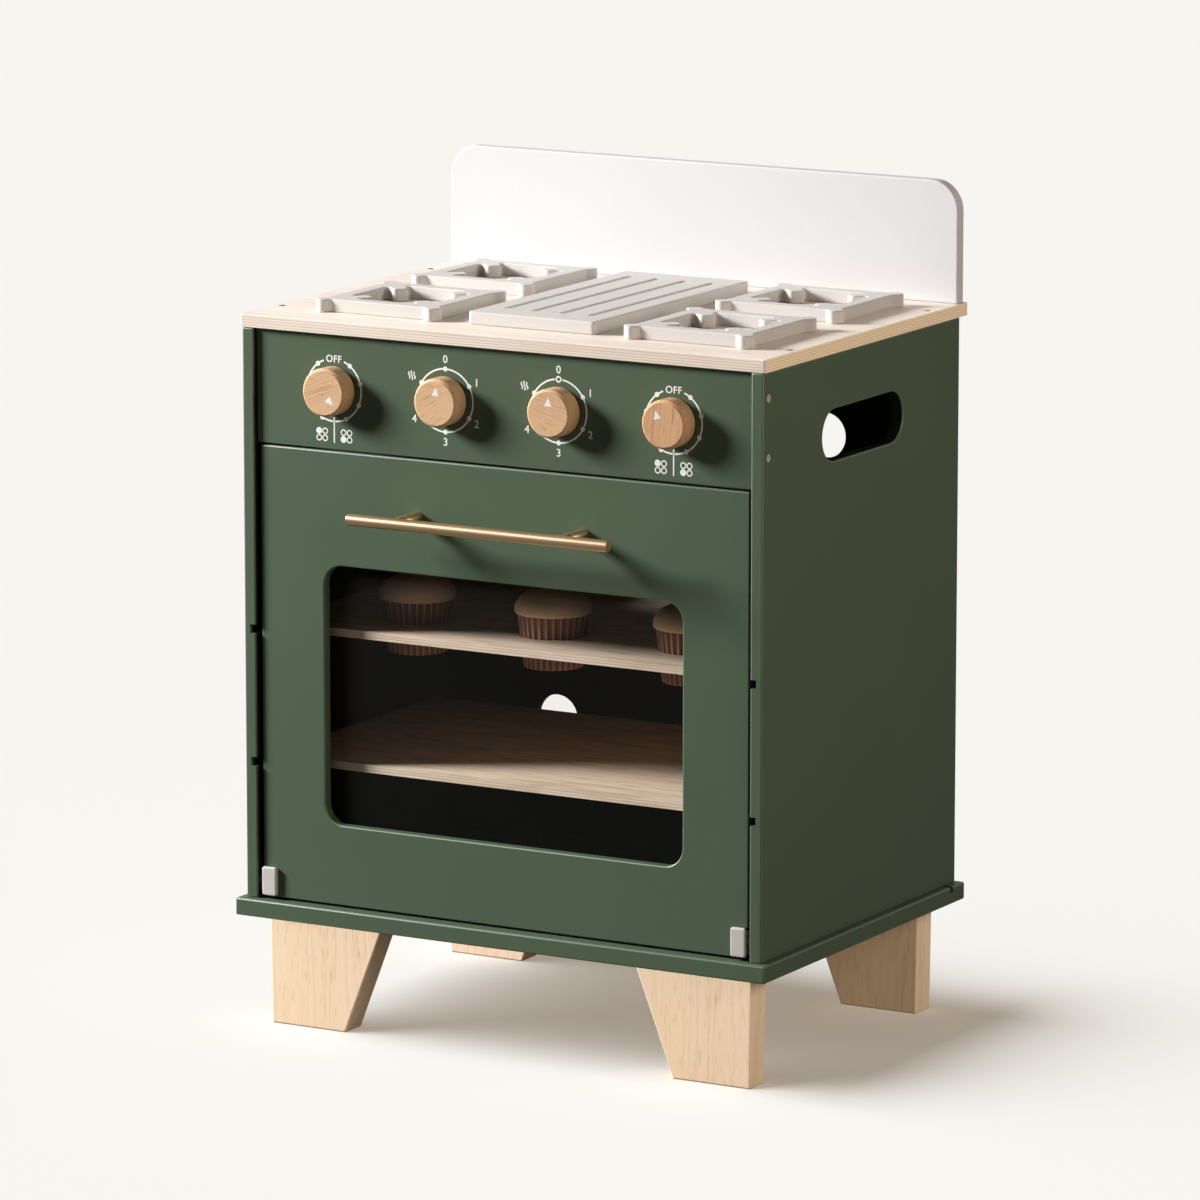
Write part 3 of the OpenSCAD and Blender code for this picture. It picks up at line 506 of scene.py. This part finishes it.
# %% Knobs
KNOB_PALE = (0.735, 0.47, 0.262)
KNOB_REDDER = (0.71, 0.41, 0.205)
KNOB_DARK = (0.43, 0.215, 0.09)
knob_turns = {1: 20, 2: 28, 3: -20, 4: 84}
knob_wood = {}
knob_centre = {}
for i in range(1, 5):
    low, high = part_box("knob_%d" % i)
    r = (high.x - low.x) / 2
    thick = high.y - low.y
    centre = ((low.x + high.x) / 2, high.y, (low.z + high.z) / 2)
    knob_centre[i] = centre
    turn = (0, math.radians(90 + knob_turns[i]), 0)
    redder = i == 4
    knob_wood[i] = timber(
        "knob_wood_%d" % i, KNOB_REDDER if redder else KNOB_PALE, KNOB_DARK, turn,
        (centre[0] + 0.003 * i, centre[1] + 0.02 * i, centre[2]), ring=0.0026, swirl=0.9,
        streak=0.6 if redder else 0.5, flecks=0.6 if redder else 0.4,
    )
    line = rounded_line(
        [(0, 0), (r, 0), (r, thick - 1.6 * MM), (r - 1.6 * MM, thick), (0, thick)],
        [0, 0.6 * MM, 0.5 * MM, 0.5 * MM, 0],
    )
    knob = mesh_piece("turned_knob_%d" % i, [turned(line, centre, (0, -1, 0))], knob_wood[i])
    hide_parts("knob_%d" % i)
    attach(knob, "knob_%d" % i)
print("knob radius", round(r, 4), "thickness", round(thick, 4))

# %% [markdown]
# ## Printed marks
# The dials are printed on the control panel: a ring with dots, numbers, and on the outer dials OFF and a pair of
# plate signs. Ink has almost no thickness, so each mark is a plate a twentieth of a millimetre proud of the
# paint. Rings and dots are flat strips between two radii, strokes are strips along a line, and numbers are
# Blender's plain letters made into a mesh.

# %% Strips of ink
ink = paint("printed_white", (0.87, 0.88, 0.86), gloss=0.5, drift=0.02)
INK = 0.05 * MM


def ink_strip(left, right, closed=False, thick=INK):
    """A flat strip between two lines of (u, v): four lines carried along as a thin box."""
    left, right = np.asarray(left, float), np.asarray(right, float)
    rings = [np.c_[left, np.zeros(len(left))], np.c_[left, np.full(len(left), thick)]]
    rings += [np.c_[right, np.full(len(right), thick)], np.c_[right, np.zeros(len(right))]]
    rings.append(rings[0])
    points = np.array(rings)
    faces = grid_faces(5, points.shape[1], closed)
    if not closed:
        n = points.shape[1]
        ends = [[0, n, 2 * n, 3 * n], [n - 1, 2 * n - 1, 3 * n - 1, 4 * n - 1]]
        faces = list(faces.tolist()) + ends
    return points.reshape(-1, 3), [list(map(int, f)) for f in faces]


def arc_strip(radius, width, start, end, centre=(0, 0), steps=None, thick=INK):
    """Strip round a centre; angles in degrees, clockwise from up."""
    steps = steps or max(6, int(abs(end - start) / 4))
    whole = abs(end - start) >= 360
    angle = np.radians(np.linspace(start, end, steps + 1)[: steps if whole else None])
    ray = np.c_[np.sin(angle), np.cos(angle)]
    return ink_strip(ray * (radius - width / 2) + centre, ray * (radius + width / 2) + centre, whole, thick)


def dot(radius, centre):
    """Disc: a strip whose inner radius is almost nothing, a little thicker than the ring it lies on."""
    return arc_strip(radius / 2, radius * 0.999, 0, 360, centre, 24, 1.6 * INK)


def stroke(points, width):
    """Strip of even width along a line of points."""
    points = np.asarray(points, float)
    ahead = np.gradient(points, axis=0)
    ahead /= np.linalg.norm(ahead, axis=1)[:, None]
    side = np.c_[-ahead[:, 1], ahead[:, 0]] * width / 2
    return ink_strip(points - side, points + side)


def letters(text, height, centre):
    """A word as a thin mesh, its middle at the centre; Blender's letters are about 0.7 of their size high."""
    curve = bpy.data.curves.new("word", "FONT")
    curve.body = text
    curve.size = height / 0.7
    curve.align_x = "CENTER"
    curve.offset = 0.02 * height
    curve.space_character = 1.08
    curve.resolution_u = 6
    holder = bpy.data.objects.new("word", curve)
    bpy.context.scene.collection.objects.link(holder)
    bpy.context.view_layer.update()
    flat = bpy.data.meshes.new_from_object(holder.evaluated_get(bpy.context.evaluated_depsgraph_get()))
    work = bmesh.new()
    work.from_mesh(flat)
    bmesh.ops.remove_doubles(work, verts=work.verts, dist=1e-7)
    sheet = bmesh.ops.extrude_face_region(work, geom=list(work.faces))
    for v in (e for e in sheet["geom"] if isinstance(e, bmesh.types.BMVert)):
        v.co.z += INK
    work.verts.index_update()
    points = np.array([v.co for v in work.verts])
    points[:, :2] += np.array(centre) - (points[:, :2].max(0) + points[:, :2].min(0)) / 2
    faces = [[v.index for v in face.verts] for face in work.faces]
    work.free()
    bpy.data.objects.remove(holder)
    return points, faces


def at_angle(radius, degrees):
    a = math.radians(degrees)
    return (radius * math.sin(a), radius * math.cos(a))


# %% Dials
RING_R = 21.3 * MM
RING_W = 1.15 * MM
DOT_R = 1.7 * MM


def plate_sign(centre, full):
    """Four small rings in a square, one of them filled."""
    marks = []
    for place, (u, v) in enumerate([(-1, 1), (1, 1), (-1, -1), (1, -1)]):
        middle = (centre[0] + u * 2.35 * MM, centre[1] + v * 2.35 * MM)
        marks.append(dot(2.3 * MM, middle) if place == full else arc_strip(1.85 * MM, 0.85 * MM, 0, 360, middle))
    return marks


def wave(centre, height, width):
    """A short upright wave, the plain sign for warmth."""
    t = np.linspace(0, 1, 13)
    line = np.c_[centre[0] + 0.55 * MM * np.sin(2 * np.pi * t), centre[1] + (t - 0.5) * height]
    return stroke(line, width)


def dial_parts(i):
    """Marks of one dial about the knob's axis: u to the right and v up."""
    if i in (1, 4):
        marks = [arc_strip(RING_R, RING_W, 22, 338)]
        marks += [dot(DOT_R, at_angle(RING_R, s * a)) for s in (-1, 1) for a in (36, 75, 115, 154)]
        marks += [letters("OFF", 4.7 * MM, (0, RING_R))]
        marks += [stroke([(0, -18 * MM), (0, -27 * MM), (0, -36 * MM)], 1.0 * MM)]
        marks += plate_sign((-9.6 * MM, -30.7 * MM), 0) + plate_sign((9.6 * MM, -30.7 * MM), 2)
        return marks
    gap = 8 if i == 3 else 0
    marks = [arc_strip(RING_R, RING_W, gap, 360 - gap)]
    marks += [dot(DOT_R, at_angle(RING_R, a)) for a in (60, 120, 180, 240, 300)]
    marks += [arc_strip(1.7 * MM, 1.0 * MM, 0, 360, (0, RING_R))] if i == 3 else [dot(DOT_R, (0, RING_R))]
    marks += [letters(str(n), 5.2 * MM, at_angle(27.9 * MM, 60 * n)) for n in range(5)]
    middle = at_angle(30 * MM, 300)
    marks += [wave((middle[0] + s * 2.0 * MM, middle[1]), (6.4 - abs(s) * 1.6) * MM, 0.9 * MM) for s in (-1, 0, 1)]
    return marks


def onto(parts, origin, turn=0.0):
    """Flat (u, v, thickness) points turned clockwise, then u to +x, v to +z and thickness to -y."""
    c, s = math.cos(math.radians(turn)), math.sin(math.radians(turn))
    placed = []
    for points, faces in parts:
        p = np.asarray(points, float).reshape(-1, 3)
        u, v = p[:, 0] * c + p[:, 1] * s, -p[:, 0] * s + p[:, 1] * c
        placed.append((np.c_[origin[0] + u, origin[1] - p[:, 2], origin[2] + v], faces))
    return placed


panel_face_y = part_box("control_panel")[0].y
for i in range(1, 5):
    origin = (knob_centre[i][0], panel_face_y, knob_centre[i][2])
    marks = mesh_piece("dial_marks_%d" % i, onto(dial_parts(i), origin), ink, smooth=False)
    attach(marks, "cabinet")
print("dials on the face at y", round(panel_face_y, 4))

# %% Pointers on the knobs
pointer_turn = {1: 135, 2: 7, 3: 2, 4: -37}
pointer_spin = {1: 0, 2: 0, 3: 0, 4: 22}
for i in range(1, 5):
    face_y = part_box("knob_%d" % i)[0].y
    middle = at_angle(8.1 * MM, pointer_turn[i])
    corners = [(-2.8 * MM, -2.9 * MM), (2.8 * MM, -2.9 * MM), (0, 2.9 * MM)]
    bottom = [(u, v, 0) for u, v in corners]
    top = [(u, v, INK) for u, v in corners]
    faces = [[0, 1, 2], [3, 4, 5], [0, 1, 4, 3], [1, 2, 5, 4], [2, 0, 3, 5]]
    origin = (knob_centre[i][0] + middle[0], face_y, knob_centre[i][2] + middle[1])
    part = onto([(bottom + top, faces)], origin, pointer_turn[i] + pointer_spin[i])
    pointer = mesh_piece("knob_pointer_%d" % i, part, ink, smooth=False)
    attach(pointer, "knob_%d" % i)
print("pointers", pointer_turn)

# %% [markdown]
# ## Handle
# A round bar on two round posts. Both are turned pieces; the bar has a small rounding at its ends, and each
# post runs from the door into the bar.

# %% Handle
low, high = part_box("handle_bar")
bar_r = (high.z - low.z) / 2
bar_l = high.x - low.x
bar_axis = (low.x, (low.y + high.y) / 2, (low.z + high.z) / 2)
line = rounded_line([(0, 0), (bar_r, 0), (bar_r, bar_l), (0, bar_l)], [0, 0.5 * MM, 0.5 * MM, 0], steps=4)
bar = mesh_piece("copper_bar", [turned(line, bar_axis, (1, 0, 0), 64)], copper)
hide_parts("handle_bar")
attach(bar, "door")

low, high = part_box("handle_posts")
post_r = (high.z - low.z) / 2
post_z = (low.z + high.z) / 2
post_l = high.y - bar_axis[1]
line = rounded_line([(0, 0), (post_r, 0), (post_r, post_l)], [0, 0.2 * MM], steps=3)
line = np.vstack([line, [(0, post_l)]])
parts = [turned(line, (x, high.y, post_z), (0, -1, 0), 48) for x in (low.x + post_r, high.x - post_r)]
posts = mesh_piece("copper_posts", parts, copper)
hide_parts("handle_posts")
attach(posts, "door")
print("bar", round(2 * bar_r, 4), "by", round(bar_l, 4), "posts", round(post_l, 4))

# %% [markdown]
# ## Routed plates
# The pan grates and the backsplash are flat boards cut to an outline, with their edges softened by sanding.
# A plate is made from its outline: the rounded edge is a small profile carried round each outline, and the
# flat faces are filled between the outlines that are left.

# %% Plates
def inset(loop, distance):
    """The loop moved by a distance to its left; for a loop that runs anticlockwise that is inwards."""
    before, after = np.roll(loop, 1, 0), np.roll(loop, -1, 0)
    a = (loop - before) / np.linalg.norm(loop - before, axis=1)[:, None]
    b = (after - loop) / np.linalg.norm(after - loop, axis=1)[:, None]
    normal_a, normal_b = np.c_[-a[:, 1], a[:, 0]], np.c_[-b[:, 1], b[:, 0]]
    middle = normal_a + normal_b
    return loop + distance * middle * 2 / (middle ** 2).sum(1)[:, None]


def plate_parts(loops, bottom, top, edge, steps=4, hold=0.15 * MM):
    """Edge profile carried round each loop, and fills: loop 0 runs anticlockwise, holes run clockwise."""
    a = np.linspace(0, np.pi / 2, steps + 1)
    inward = np.r_[edge + hold, edge - edge * np.sin(a), 0, 0, edge - edge * np.cos(a), edge + hold]
    height = np.r_[bottom, bottom + edge - edge * np.cos(a), bottom + edge + hold, top - edge - hold,
                   top - edge + edge * np.sin(a), top]
    parts = []
    lower, upper = [], []
    for loop in loops:
        rings = np.array([np.c_[inset(loop, d), np.full(len(loop), h)] for d, h in zip(inward, height)])
        parts.append((rings, grid_faces(len(rings), len(loop))))
        lower.append(rings[0])
        upper.append(rings[-1])
    return parts + [filled(lower), filled(upper)]


def outline(corners, radii, steps=6):
    """Closed outline: every corner gets its own rounding; corners in order round the shape."""
    corners = [np.array(c, float) for c in corners]
    start = (corners[0] + corners[-1]) / 2
    line = rounded_line([start] + corners + [start], [0] + list(radii) + [0], steps)
    return line[:-1]


def grate_outlines(width, ring, bar, stub, prong):
    """Outer and inner outline of a square ring that four diagonal bars cross: one quarter, turned four times."""
    o, i = width / 2, width / 2 - ring
    h = bar / 2 / math.sqrt(2)
    tip = o + stub / math.sqrt(2)
    root = i - prong / math.sqrt(2)
    outer_quarter = [(o, o - 2 * h), (tip + h, tip - h), (tip - h, tip + h), (o - 2 * h, o)]
    inner_quarter = [(i, i - 2 * h), (root + h, root - h), (root - h, root + h), (i - 2 * h, i)]
    outer_r = [2.4 * MM, 3.4 * MM, 3.4 * MM, 2.4 * MM]
    inner_r = [2.4 * MM, 2.6 * MM, 2.6 * MM, 2.4 * MM]
    quarter = [np.array([[c, -s], [s, c]]) for c, s in ((1, 0), (0, 1), (-1, 0), (0, -1))]
    outer = [q @ np.array(p) for q in quarter for p in outer_quarter]
    inner = [q @ np.array(p) for q in quarter for p in inner_quarter]
    return outline(outer, outer_r * 4), outline(inner, inner_r * 4)[::-1]


# %% Grates
for name in ("front_left_grate", "front_right_grate", "back_left_grate", "back_right_grate"):
    low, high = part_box(name)
    span = high.x - low.x
    middle = np.array([(low.x + high.x) / 2, (low.y + high.y) / 2])
    bar = 11 * MM
    stub = 3.5 * MM
    ring_width = span - 2 * (stub + bar / 2) / math.sqrt(2)
    loops = [loop + middle for loop in grate_outlines(ring_width, 10.5 * MM, bar, stub, 19.5 * MM)]
    grate = mesh_piece("routed_" + name, plate_parts(loops, low.z, high.z, 0.9 * MM), grey_paint)
    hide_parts(name)
    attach(grate, "cabinet")
print("grate ring", round(ring_width, 4), "span", round(span, 4))

# %% Backsplash
low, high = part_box("backsplash")
r = 21 * MM
corners = [(low.x, low.z), (high.x, low.z), (high.x, high.z), (low.x, high.z)]
loop = outline(corners, [1.6 * MM, 1.6 * MM, r, r], steps=16)
parts = plate_parts([loop], -high.y, -low.y, 1.2 * MM)
parts = [(np.asarray(part[0], float).reshape(-1, 3)[:, [0, 2, 1]] * (1, -1, 1), *part[1:]) for part in parts]
splash = mesh_piece("white_backsplash", parts, white_paint)
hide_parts("backsplash")
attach(splash, "cabinet")
print("backsplash", round(high.x - low.x, 4), "wide and", round(high.z - low.z, 4), "high")

# %% [markdown]
# ## Muffins
# Each toy muffin is a moulded shape: a pleated cup and a smooth top that hangs over the cup's rim. The cup is a
# cone whose radius rises and falls with the angle, as a folded paper cup does, and the pleats fade out at the
# foot. The top is a low dome whose lower rim rolls under.

# %% Muffins
def muffin_finish(name, low_tone, high_tone, grain):
    finish = Finish(name)
    cloud = finish.noise(0.02, detail=4)
    crumb = finish.noise(grain, detail=4, roughness=0.6)
    finish.put(Base_Color=finish.mix(cloud * 0.6 + crumb * 0.4, low_tone, high_tone))
    finish.put(Roughness=0.5 + crumb * 0.2, Normal=finish.bump(crumb, 0.00012))
    return finish.material


muffin_tan = muffin_finish("muffin_tan", (0.74, 0.53, 0.35), (0.84, 0.63, 0.445), 0.0015)

cup_finish = Finish("muffin_brown")
pleat = cup_finish.add("ShaderNodeAttribute", {"attribute_name": "pleat"}, out="Fac")
cup_grain = cup_finish.noise(0.0012, detail=3)
# Painted highlight: a thin light brown line on the crest of each pleat, on a dark red-brown cup.
cup_tone_with_painted_crest_highlight = cup_finish.mix(pleat ** 7.0, (0.24, 0.095, 0.062), (0.66, 0.41, 0.24))
cup_finish.put(Base_Color=cup_finish.mix(cup_grain * 0.3, cup_tone_with_painted_crest_highlight, (0.30, 0.12, 0.08)))
cup_finish.put(Roughness=0.5 + cup_grain * 0.15, Normal=cup_finish.bump(cup_grain, 0.00008))
muffin_brown = cup_finish.material

PLEATS = 30
for i in range(1, 4):
    low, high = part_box("muffin_cup_%d" % i)
    axis = ((low.x + high.x) / 2, (low.y + high.y) / 2, 0)
    rim, foot, tall = (high.x - low.x) / 2, 20.25 * MM, high.z - low.z
    angle = np.linspace(0, 2 * np.pi, PLEATS * 14, endpoint=False)
    ridge = (0.5 + 0.5 * np.cos(PLEATS * angle)) ** 0.8
    t = np.r_[0, 0.03, np.linspace(0.06, 1, 24)][:, None]
    depth = 1.1 * MM * np.clip(t * 6, 0, 1)
    radius = foot + (rim - foot) * t - depth * (1 - ridge)
    side = np.stack([radius * np.cos(angle), radius * np.sin(angle), low.z + tall * t * np.ones_like(radius)], -1)
    hub = np.zeros((1, len(angle), 3))
    hub[..., 2] = low.z
    lid = hub + (0, 0, tall)
    rings = np.concatenate([hub, side, lid]) + np.array(axis)
    cup = mesh_piece("pleated_cup_%d" % i, [(rings, grid_faces(len(rings), len(angle)))], muffin_brown)
    co = np.zeros(len(cup.data.vertices) * 3)
    cup.data.vertices.foreach_get("co", co)
    co = co.reshape(-1, 3) - axis
    turn_angle = np.arctan2(co[:, 1], co[:, 0])
    attribute = cup.data.attributes.new("pleat", "FLOAT", "POINT")
    attribute.data.foreach_set("value", 0.5 + 0.5 * np.cos(PLEATS * turn_angle))
    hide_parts("muffin_cup_%d" % i)
    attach(cup, "muffin_%d" % i)

    low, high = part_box("muffin_top_%d" % i)
    r, tall = (high.x - low.x) / 2, high.z - low.z
    a = np.linspace(0, np.pi / 2, 22)
    dome = np.c_[r * np.cos(a) ** 0.8, 2.2 * MM + (tall - 2.2 * MM) * np.sin(a)]
    under = np.linspace(-np.pi / 2, 0, 8)[:-1]
    roll = np.c_[r - 1.5 * MM + 1.5 * MM * np.cos(under), 1.6 * MM + 1.6 * MM * np.sin(under)]
    line = np.vstack([[(0, 0)], roll, dome[:-1], [(0, tall)]])
    top = mesh_piece("muffin_dome_%d" % i, [turned(line, axis[:2] + (low.z,), (0, 0, 1), 96)], muffin_tan)
    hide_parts("muffin_top_%d" % i)
    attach(top, "muffin_%d" % i)
print("muffins", PLEATS, "pleats each")

# %% [markdown]
# ## Board edges that catch the light
# The edges of the painted boards are sanded round, so they show as bright lines. The
# packed boards have their round edges in small flat steps. A copy of each board is made smooth along them, the
# sharp rim of a cut-out is rounded as well, and the round strips get a glossier coat of the same paint that is
# made 1.25 times lighter: a painted highlight along every edge.

# %% Boards with soft edges
def softened(node, body, coats, rim=None, width=1.0 * MM):
    """Copy of a packed board: doubles merged, flat faces joined, the rim rounded, narrow slanted strips smooth."""
    work = bmesh.new()
    work.from_mesh(nodes[node].data)
    bmesh.ops.remove_doubles(work, verts=work.verts, dist=1e-6)
    bmesh.ops.dissolve_limit(work, angle_limit=math.radians(0.5), verts=work.verts, edges=work.edges)
    if rim:
        sharp = [e for e in work.edges if len(e.link_faces) == 2 and e.calc_face_angle() > 1]
        chosen = [e for e in sharp if all(rim(v.co) for v in e.verts)]
        bmesh.ops.bevel(work, geom=chosen, offset=width, offset_type="OFFSET", segments=3, profile=0.5,
                        affect="EDGES")
    for face in work.faces:
        slanted = max(abs(c) for c in face.normal) < 0.999
        narrow = face.calc_area() < 1.3 * MM * max(e.calc_length() for e in face.edges)
        face.smooth = slanted and narrow
        # Narrow slanted strips take the second coat, the edge paint with the painted highlight.
        face.material_index = int(slanted and narrow)
    mesh = bpy.data.meshes.new("soft_" + node)
    work.to_mesh(mesh)
    work.free()
    for coat in coats:
        mesh.materials.append(coat)
    board = bpy.data.objects.new("soft_" + node, mesh)
    bpy.context.scene.collection.objects.link(board)
    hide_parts(node)
    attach(board, body)
    return board


door_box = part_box("door_panel")


def window_rim(point):
    low, high = door_box
    return abs(point.y - low.y) < 0.05 * MM and abs(point.x) < high.x - 5 * MM and low.z + 40 * MM < point.z


def handhold_rim(point):
    low, high = side_box
    deep = low.y + 20 * MM < point.y < high.y - 20 * MM
    return abs(abs(point.x) - high.x) < 0.05 * MM and deep and low.z + 250 * MM < point.z < high.z - 10 * MM


boards = {
    "base_plate": softened("base_plate", "cabinet", [green_paint, painted_highlight_edge_coat]),
    "control_panel": softened("control_panel", "cabinet", [green_paint, painted_highlight_edge_coat]),
    "door_panel": softened("door_panel", "door", [green_paint, painted_highlight_edge_coat], window_rim),
    "left_side_panel": softened("left_side_panel", "cabinet", [side_paint, painted_highlight_side_edge_coat], handhold_rim),
    "right_side_panel": softened("right_side_panel", "cabinet", [side_paint, painted_highlight_side_edge_coat], handhold_rim),
}
print("soft boards", {name: len(board.data.polygons) for name, board in boards.items()})

# %% [markdown]
# ## Finishes for the carried-over boards and fittings
# The plywood, the legs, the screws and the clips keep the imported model's shape, because it is already exact. Only
# their material slots are filled.

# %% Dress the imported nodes
def dress(material, *names):
    for name in names:
        slots = nodes[name].material_slots
        for slot in slots:
            slot.material = material
        if not slots:
            nodes[name].data.materials.append(material)


dress(green_paint, "base_plate", "control_panel", "door_panel")
dress(side_paint, "left_side_panel", "right_side_panel")
dress(black_paint, "back_panel")
dress(top_ply, "countertop")
dress(upper_ply, "upper_shelf")
dress(lower_ply, "lower_shelf")
for leg in legs:
    dress(pine[leg], leg)
dress(grey_paint, "griddle")
dress(dark_steel, "countertop_screws")
dress(pale_steel, "control_panel_screws")
dress(steel, "base_screws", "leg_screws", "backsplash_screws",
      "hob_screws", "catch_screws", "window_screws", "handle_screws", "hinge_screws", "catch_magnet", "strike_plate",
      *["knob_axle_%d" % i for i in range(1, 5)], *["axle_clip_%d" % i for i in range(1, 5)])
dress(clip_plastic, "left_hinge_clip", "right_hinge_clip")
dress(dark_plastic, "hinge_bushes")
dress(timber("catch_wood", PINE, PINE_LATE, (0, 1.57, 0), (0, 0, 0.4)), "magnet_catch")
dress(pane, "door_window")


def finished(piece):
    return any(slot.material and slot.material.use_nodes for slot in piece.material_slots)


bare = [name for name, piece in nodes.items() if not piece.hide_render and not finished(piece)]
print("nodes without a finish", bare)

# %% [markdown]
# ## Floor and light
# The oven stands on a pale floor that runs out of view on all sides. A lamp high on the left draws the knobs'
# shadows to the right. A broad lamp on the right and a very broad one behind fill the shaded sides; they leave
# out what is behind the door, which is only lit through the window. Two weak lamps warm the bare wood as light
# off a pale floor would. The last lamp lights only the floor, so that the shadow under the oven stays short and
# soft. To the camera the floor is partly a plain tone, as a lit backdrop would be, and partly lit paint that
# keeps the shadow.

# %% Floor
BACKDROP = (0.930, 0.905, 0.863)
FLOOR_OWN = 0.35
OWN_TONE = (0.345, 0.290, 0.233)
BOUNCE_TONE = (0.16, 0.142, 0.122)
reach = 30.0
floor_points = np.array([(-reach, -reach, 0), (reach, -reach, 0), (reach, reach, 0), (-reach, reach, 0)])
floor_finish = Finish("floor", Roughness=0.9)
floor_finish.shader.inputs["Specular IOR Level"].default_value = 0.0
path = floor_finish.tree.nodes.new("ShaderNodeLightPath")
seen = Wire(floor_finish, path.outputs["Is Camera Ray"]) + Wire(floor_finish, path.outputs["Is Transmission Ray"])
seen = floor_finish.add("ShaderNodeClamp", sockets={0: seen})
cloud = floor_finish.noise(1.5, detail=2)
lit_tone = tuple((b - o) / (1 - FLOOR_OWN) for b, o in zip(BACKDROP, OWN_TONE))
seen_tone = floor_finish.mix(cloud * 0.1, lit_tone, shade(lit_tone, 0.985))
floor_finish.put(Base_Color=floor_finish.mix(seen, BOUNCE_TONE, seen_tone))
glow = floor_finish.add("ShaderNodeEmission", sockets={0: tuple(o / FLOOR_OWN for o in OWN_TONE), 1: 1.0})
own = floor_finish.add(
    "ShaderNodeMixShader",
    sockets={0: seen * FLOOR_OWN, 1: Wire(floor_finish, floor_finish.shader.outputs[0]), 2: glow},
)
floor_finish.tree.links.new(own.socket, floor_finish.output.inputs[0])
floor = mesh_piece("floor", [(floor_points, [[0, 1, 2, 3]])], floor_finish.material, smooth=False)

# %% World
world = bpy.data.worlds.new("studio")
bpy.context.scene.world = world
world.use_nodes = True
tree = world.node_tree
tree.nodes.clear()
lit = tree.nodes.new("ShaderNodeBackground")
lit.inputs[0].default_value = (1.0, 0.92, 0.84, 1)
lit.inputs[1].default_value = 0.04
shown = tree.nodes.new("ShaderNodeBackground")
shown.inputs[0].default_value = BACKDROP + (1,)
shown.inputs[1].default_value = 1.0
ray = tree.nodes.new("ShaderNodeLightPath")
choose = tree.nodes.new("ShaderNodeMixShader")
tree.links.new(ray.outputs["Is Camera Ray"], choose.inputs[0])
tree.links.new(lit.outputs[0], choose.inputs[1])
tree.links.new(shown.outputs[0], choose.inputs[2])
tree.links.new(choose.outputs[0], tree.nodes.new("ShaderNodeOutputWorld").inputs[0])

# %% Lamps
def aimed(lamp, direction):
    lamp.rotation_euler = Vector(direction).to_track_quat("-Z", "Y").to_euler()


def lamp_on(name, kind, energy, colour):
    lamp = bpy.data.objects.new(name, bpy.data.lights.new(name, kind))
    bpy.context.scene.collection.objects.link(lamp)
    lamp.data.energy = energy
    lamp.data.color = colour
    return lamp


def leave_out(lamp, pieces, role="receiver"):
    """The lamp lights everything but these pieces; as blockers, everything but these casts its shadow."""
    left_out = bpy.data.collections.new("%s_%s_left_out" % (lamp.name, role))
    for piece in pieces:
        left_out.objects.link(piece)
    setattr(lamp.light_linking, role + "_collection", left_out)
    for member in left_out.collection_objects:
        member.light_linking.link_state = "EXCLUDE"


key_direction = Vector((0.815, 0.385, -0.43)).normalized()
key = lamp_on("key_lamp", "AREA", 219, (1.0, 0.995, 0.998))
key.data.shape = "DISK"
key.data.size = 0.92
key.location = Vector((0, 0, 0.3)) - key_direction * 3.2
aimed(key, key_direction)
leave_out(key, [floor])
leave_out(key, [boards["base_plate"]], "blocker")

indoors = [nodes["upper_shelf"], nodes["lower_shelf"], nodes["back_panel"], nodes["door_window"]]
indoors += [piece for piece in bpy.data.objects if piece.name.startswith(("pleated_cup", "muffin_dome"))]
fill_direction = Vector((-1.3, 0.28, -0.40)).normalized()
right_fill = lamp_on("right_fill", "AREA", 8.6, (1.0, 0.87, 0.74))
right_fill.data.shape = "DISK"
right_fill.data.size = 0.8
right_fill.location = Vector((0.2, 0, 0.40)) - fill_direction * 1.4
aimed(right_fill, fill_direction)
leave_out(right_fill, [floor] + indoors)
back_fill = lamp_on("back_fill", "SUN", 0.8, (1.0, 0.95, 0.90))
back_fill.data.angle = math.radians(110)
aimed(back_fill, (0.30, -0.85, -0.42))
leave_out(back_fill, [floor] + indoors)


def only(lamp, role, pieces):
    """The lamp lights, or as blockers is shaded by, nothing but these pieces."""
    chosen = bpy.data.collections.new("%s_%s" % (lamp.name, role))
    for piece in pieces:
        chosen.objects.link(piece)
    setattr(lamp.light_linking, role + "_collection", chosen)


leg_nodes = [nodes[leg] for leg in legs]
wood_lamp = lamp_on("wood_lamp", "SUN", 0.95, (1.0, 0.87, 0.70))
wood_lamp.data.angle = math.radians(60)
aimed(wood_lamp, (-0.96, 0.18, -0.18))
only(wood_lamp, "receiver", leg_nodes + [nodes["countertop"]])
leg_lamp = lamp_on("leg_lamp", "SUN", 0.78, (1.0, 0.80, 0.56))
leg_lamp.data.angle = math.radians(60)
aimed(leg_lamp, (0.1, 0.97, -0.1))
only(leg_lamp, "receiver", leg_nodes)
only(leg_lamp, "blocker", [floor])

floor_lamp = lamp_on("floor_lamp", "SUN", 5.0, (0.98, 0.99, 1.0))
floor_lamp.data.angle = math.radians(56)
aimed(floor_lamp, (0.78, 0.42, -0.70))
only(floor_lamp, "receiver", [floor])
only(floor_lamp, "blocker", leg_nodes + [boards["base_plate"]])
print("lamps", key.name, [round(c, 2) for c in key.location], floor_lamp.name)
